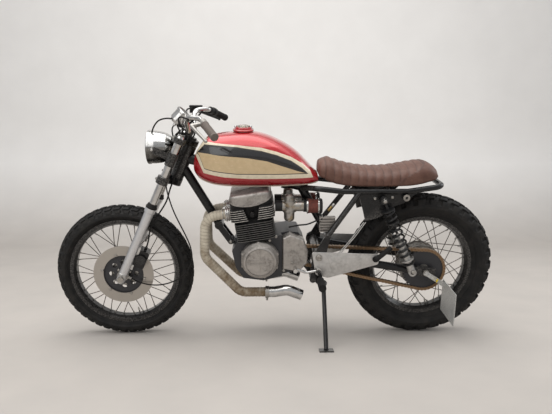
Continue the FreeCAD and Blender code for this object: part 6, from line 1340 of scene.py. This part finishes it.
def chain_pins():
    """The rivet heads on both sides of every link, all round the two sprockets."""
    front, rear = OUTPUT_SHAFT, REAR.translation.copy()
    front_radius, rear_radius = (CHAIN_PITCH / (2 * math.sin(math.pi / teeth))
                                 for teeth in (FRONT_TEETH, REAR_TEETH))
    span = rear - front
    base = math.atan2(span.z, span.x)
    tilt = math.asin((rear_radius - front_radius) / span.length)
    upper, lower = base + math.pi / 2 + tilt, base - math.pi / 2 - tilt
    run = math.sqrt(span.length ** 2 - (rear_radius - front_radius) ** 2)
    rear_arc, front_arc = rear_radius * (upper - lower), front_radius * (2 * math.pi - upper + lower)
    total = 2 * run + rear_arc + front_arc
    links = round(total / CHAIN_PITCH)

    def on(centre, radius, angle):
        return centre + Vector((radius * math.cos(angle), 0, radius * math.sin(angle)))

    def spot_at(way):
        if way < run:
            return on(front, front_radius, upper).lerp(on(rear, rear_radius, upper), way / run)
        way -= run
        if way < rear_arc:
            return on(rear, rear_radius, upper - way / rear_radius)
        way -= rear_arc
        if way < run:
            return on(rear, rear_radius, lower).lerp(on(front, front_radius, lower), way / run)
        return on(front, front_radius, lower - (way - run) / front_radius)

    head = turned([(0, 1.5), (2.2, 1.4), (3, 0.7), (3.2, -0.3)], 10)
    form = Form()
    for index in range(links):
        spot = spot_at(total * index / links)
        form.add(head, move(spot.x, CHAIN_OUTSIDE, spot.z) @ LEFTWARD)
        form.add(head, move(spot.x, CHAIN_INSIDE, spot.z) @ RIGHTWARD)
    piece("chain_rivets", form, RUST, "chassis")


def peg_plate_dressing():
    """The alloy side plates with eased rims, each with a raised rib and its bolts."""
    form = Form()
    corners = [(PIVOT.x + across * PLATE_SPAN, PIVOT.z + up * PLATE_SPAN) for across, up in
               ((-0.12, 0.1), (1.0, 0.06), (1.0, -0.12), (0.16, -0.36), (-0.05, -0.3))]
    form.both(plate(eased(corners, 9), 6, 1.6), move(0, -142.3, 0))
    inner = [(236, 438), (452, 438), (452, 408), (290, 362), (262, 352)]
    form.both(plate(eased(inner, 8), 2.2, 1.4), move(0, -147.6, 0))
    piece("side_plates", form, SIDE_ALLOY, "chassis", replaces=("peg_plates",),
          smooth=30)
    cap = turned([(0, 4.4), (7, 4.4), (8, 6.6), (11.5, 6.6), (13, 5), (13.4, 0), (16, 0), (16.4, -0.6)], 36)
    caps = Form().both(cap, move(PIVOT.x, -148.6, PIVOT.z) @ LEFTWARD)
    piece("pivot_caps", caps, STEEL, "chassis")


def rear_trim():
    """The shocks' collars and the thin stays behind the side plates."""
    stays = Form()
    for shift in (0, 9):
        path = [(287 + shift, -128, 440), (352 + shift, -126, 520), (398 + shift, -124, 588)]
        stays.add(swept(bent_line(path, 400, 6), 2.1, 12))
    piece("stay_rods", stays, BRIGHT, "chassis")
    share = (SHOCK_FOOT_X - PIVOT.x) / (REAR.translation.x - PIVOT.x)
    foot = PIVOT.lerp(REAR.translation, share) + Vector((0, SHOCK_Y, 0))
    aim = (SHOCK_TOP - foot).normalized()
    collar = turned([(8, -3), (27, -3), (28.5, -1.5), (28.5, 2), (24, 4), (8, 4)], 36)
    caps = Form()
    for height in (48, 256):
        caps.both(collar, pointing(foot + aim * height, aim))
    piece("shock_caps", caps, SATIN, "chassis")


def connectors():
    """The brass unions and the small plug that hang by the regulator."""
    lead = [(196, -98, 560), (206, -104, 588), (226, -106, 618), (250, -108, 650), (262, -108, 668)]
    tail = [(214, -96, 600), (190, -100, 590), (150, -96, 572), (110, -92, 566), (66, -88, 556)]
    aim = (0.6, -0.05, 0.8)
    union = turned([(0, 26), (5, 26), (6.2, 24), (6.2, 10), (7.4, 9), (7.4, 2), (5, 0)], 16)
    form = Form()
    form.add(swept(smooth_line(lead, 30), 3, 10))
    form.add(union, pointing((240, -108, 638), aim), 1)
    form.add(turned([(0, 16), (4, 16), (5, 14), (5, 2), (3.4, 0)], 6), pointing((256, -110, 658), aim), 2)
    form.add(swept(smooth_line(tail, 40), 3.6, 10))
    piece("rear_loom", form, [RUBBER, BRASS, BRIGHT], "chassis")
    tag = Form().add(block(2, 14, 16, 0.8), move(742, -150, 318) @ turn(25, "Y"))
    piece("valve_tag", tag, YELLOW, "chassis")


# Lights, floor and camera

def added(name, data):
    thing = bpy.data.objects.new(name, data)
    bpy.context.scene.collection.objects.link(thing)
    return thing


def lamp(name, energy, size, spot, target, colour):
    light = bpy.data.lights.new(name, "AREA")
    light.energy, light.size, light.color = energy, size, colour
    thing = added(name, light)
    thing.location = spot
    thing.rotation_euler = (Vector(target) - Vector(spot)).to_track_quat("-Z", "Y").to_euler()


FLOOR_REACH, WALL_CURVE, WALL_TOP, HALF_FLOOR = 3.4, 1.4, 8.0, 14.0


def studio():
    """A pale floor that curves up into the wall behind, under four soft lights."""
    paint = Paint("studio_floor", (0.7, 0.68, 0.65), 0.0, 0.75)
    cloud = paint.patches((3, 4), 0.3, 0.7)
    wall = paint.spread(paint.axis("Z"), 0.0, 0.9)
    paint.set("Base Color", paint.mix(wall, paint.mix(cloud, (0.5, 0.465, 0.43), (0.46, 0.43, 0.4)),
                                      paint.mix(cloud, (0.84, 0.825, 0.805), (0.81, 0.795, 0.775))))
    profile = [(-HALF_FLOOR, 0.0), (FLOOR_REACH, 0.0)]
    for degrees in range(10, 91, 10):
        angle = math.radians(degrees)
        profile.append((FLOOR_REACH + WALL_CURVE * math.sin(angle), WALL_CURVE * (1 - math.cos(angle))))
    profile.append((FLOOR_REACH + WALL_CURVE, WALL_TOP))
    mesh = bmesh.new()
    rows = [[mesh.verts.new((x, y, z)) for x in (-HALF_FLOOR, HALF_FLOOR)] for y, z in profile]
    for before, after in zip(rows, rows[1:]):
        mesh.faces.new((before[0], before[1], after[1], after[0]))
    data = bpy.data.meshes.new("studio_sweep")
    mesh.to_mesh(data)
    mesh.free()
    data.materials.append(paint.material)
    data.shade_smooth()
    added("studio_sweep", data)
    lamp("softbox_above", 108, 4.2, (-0.4, -0.9, 3.9), (0, 0, 0.4), (1.0, 0.985, 0.96))
    lamp("softbox_front", 52, 3.6, (-2.6, -3.8, 2.6), (0, 0, 0.5), (1.0, 0.99, 0.975))
    lamp("softbox_rear", 30, 2.0, (3.9, 1.0, 2.6), (0, 0, 0.6), (0.97, 0.985, 1.0))
    lamp("softbox_wall", 110, 6.0, (0.0, 1.4, 5.2), (0, 4.8, 1.8), (1.0, 0.985, 0.965))
    world = bpy.data.worlds.new("studio_air")
    bpy.context.scene.world = world
    world.use_nodes = True
    air = world.node_tree.nodes["Background"].inputs
    air["Color"].default_value = (0.93, 0.94, 0.96, 1)
    air["Strength"].default_value = 0.55


CAMERA_PLACE, CAMERA_DROP, CAMERA_TURN = (-0.082, -2.530, 0.766), 3.37, -1.74
CAMERA_LENS, SENSOR_WIDTH = 36.65, 36


def camera():
    """The photograph's viewpoint, solved from the two wheels."""
    data = bpy.data.cameras.new("photo_camera")
    data.lens, data.sensor_width = CAMERA_LENS, SENSOR_WIDTH
    thing = added("photo_camera", data)
    thing.location = CAMERA_PLACE
    thing.rotation_euler = (math.radians(90 - CAMERA_DROP), 0, math.radians(CAMERA_TURN))
    bpy.context.scene.camera = thing


camera()
studio()
paint_nodes()
wheels()
tank()
fuel_cap()
seat()
exhausts()
engine()
grips()
cockpit()
front_cables()
frame_trim()
chain_pins()
peg_plate_dressing()
rear_trim()
connectors()

bpy.context.scene.view_settings.view_transform = "Standard"
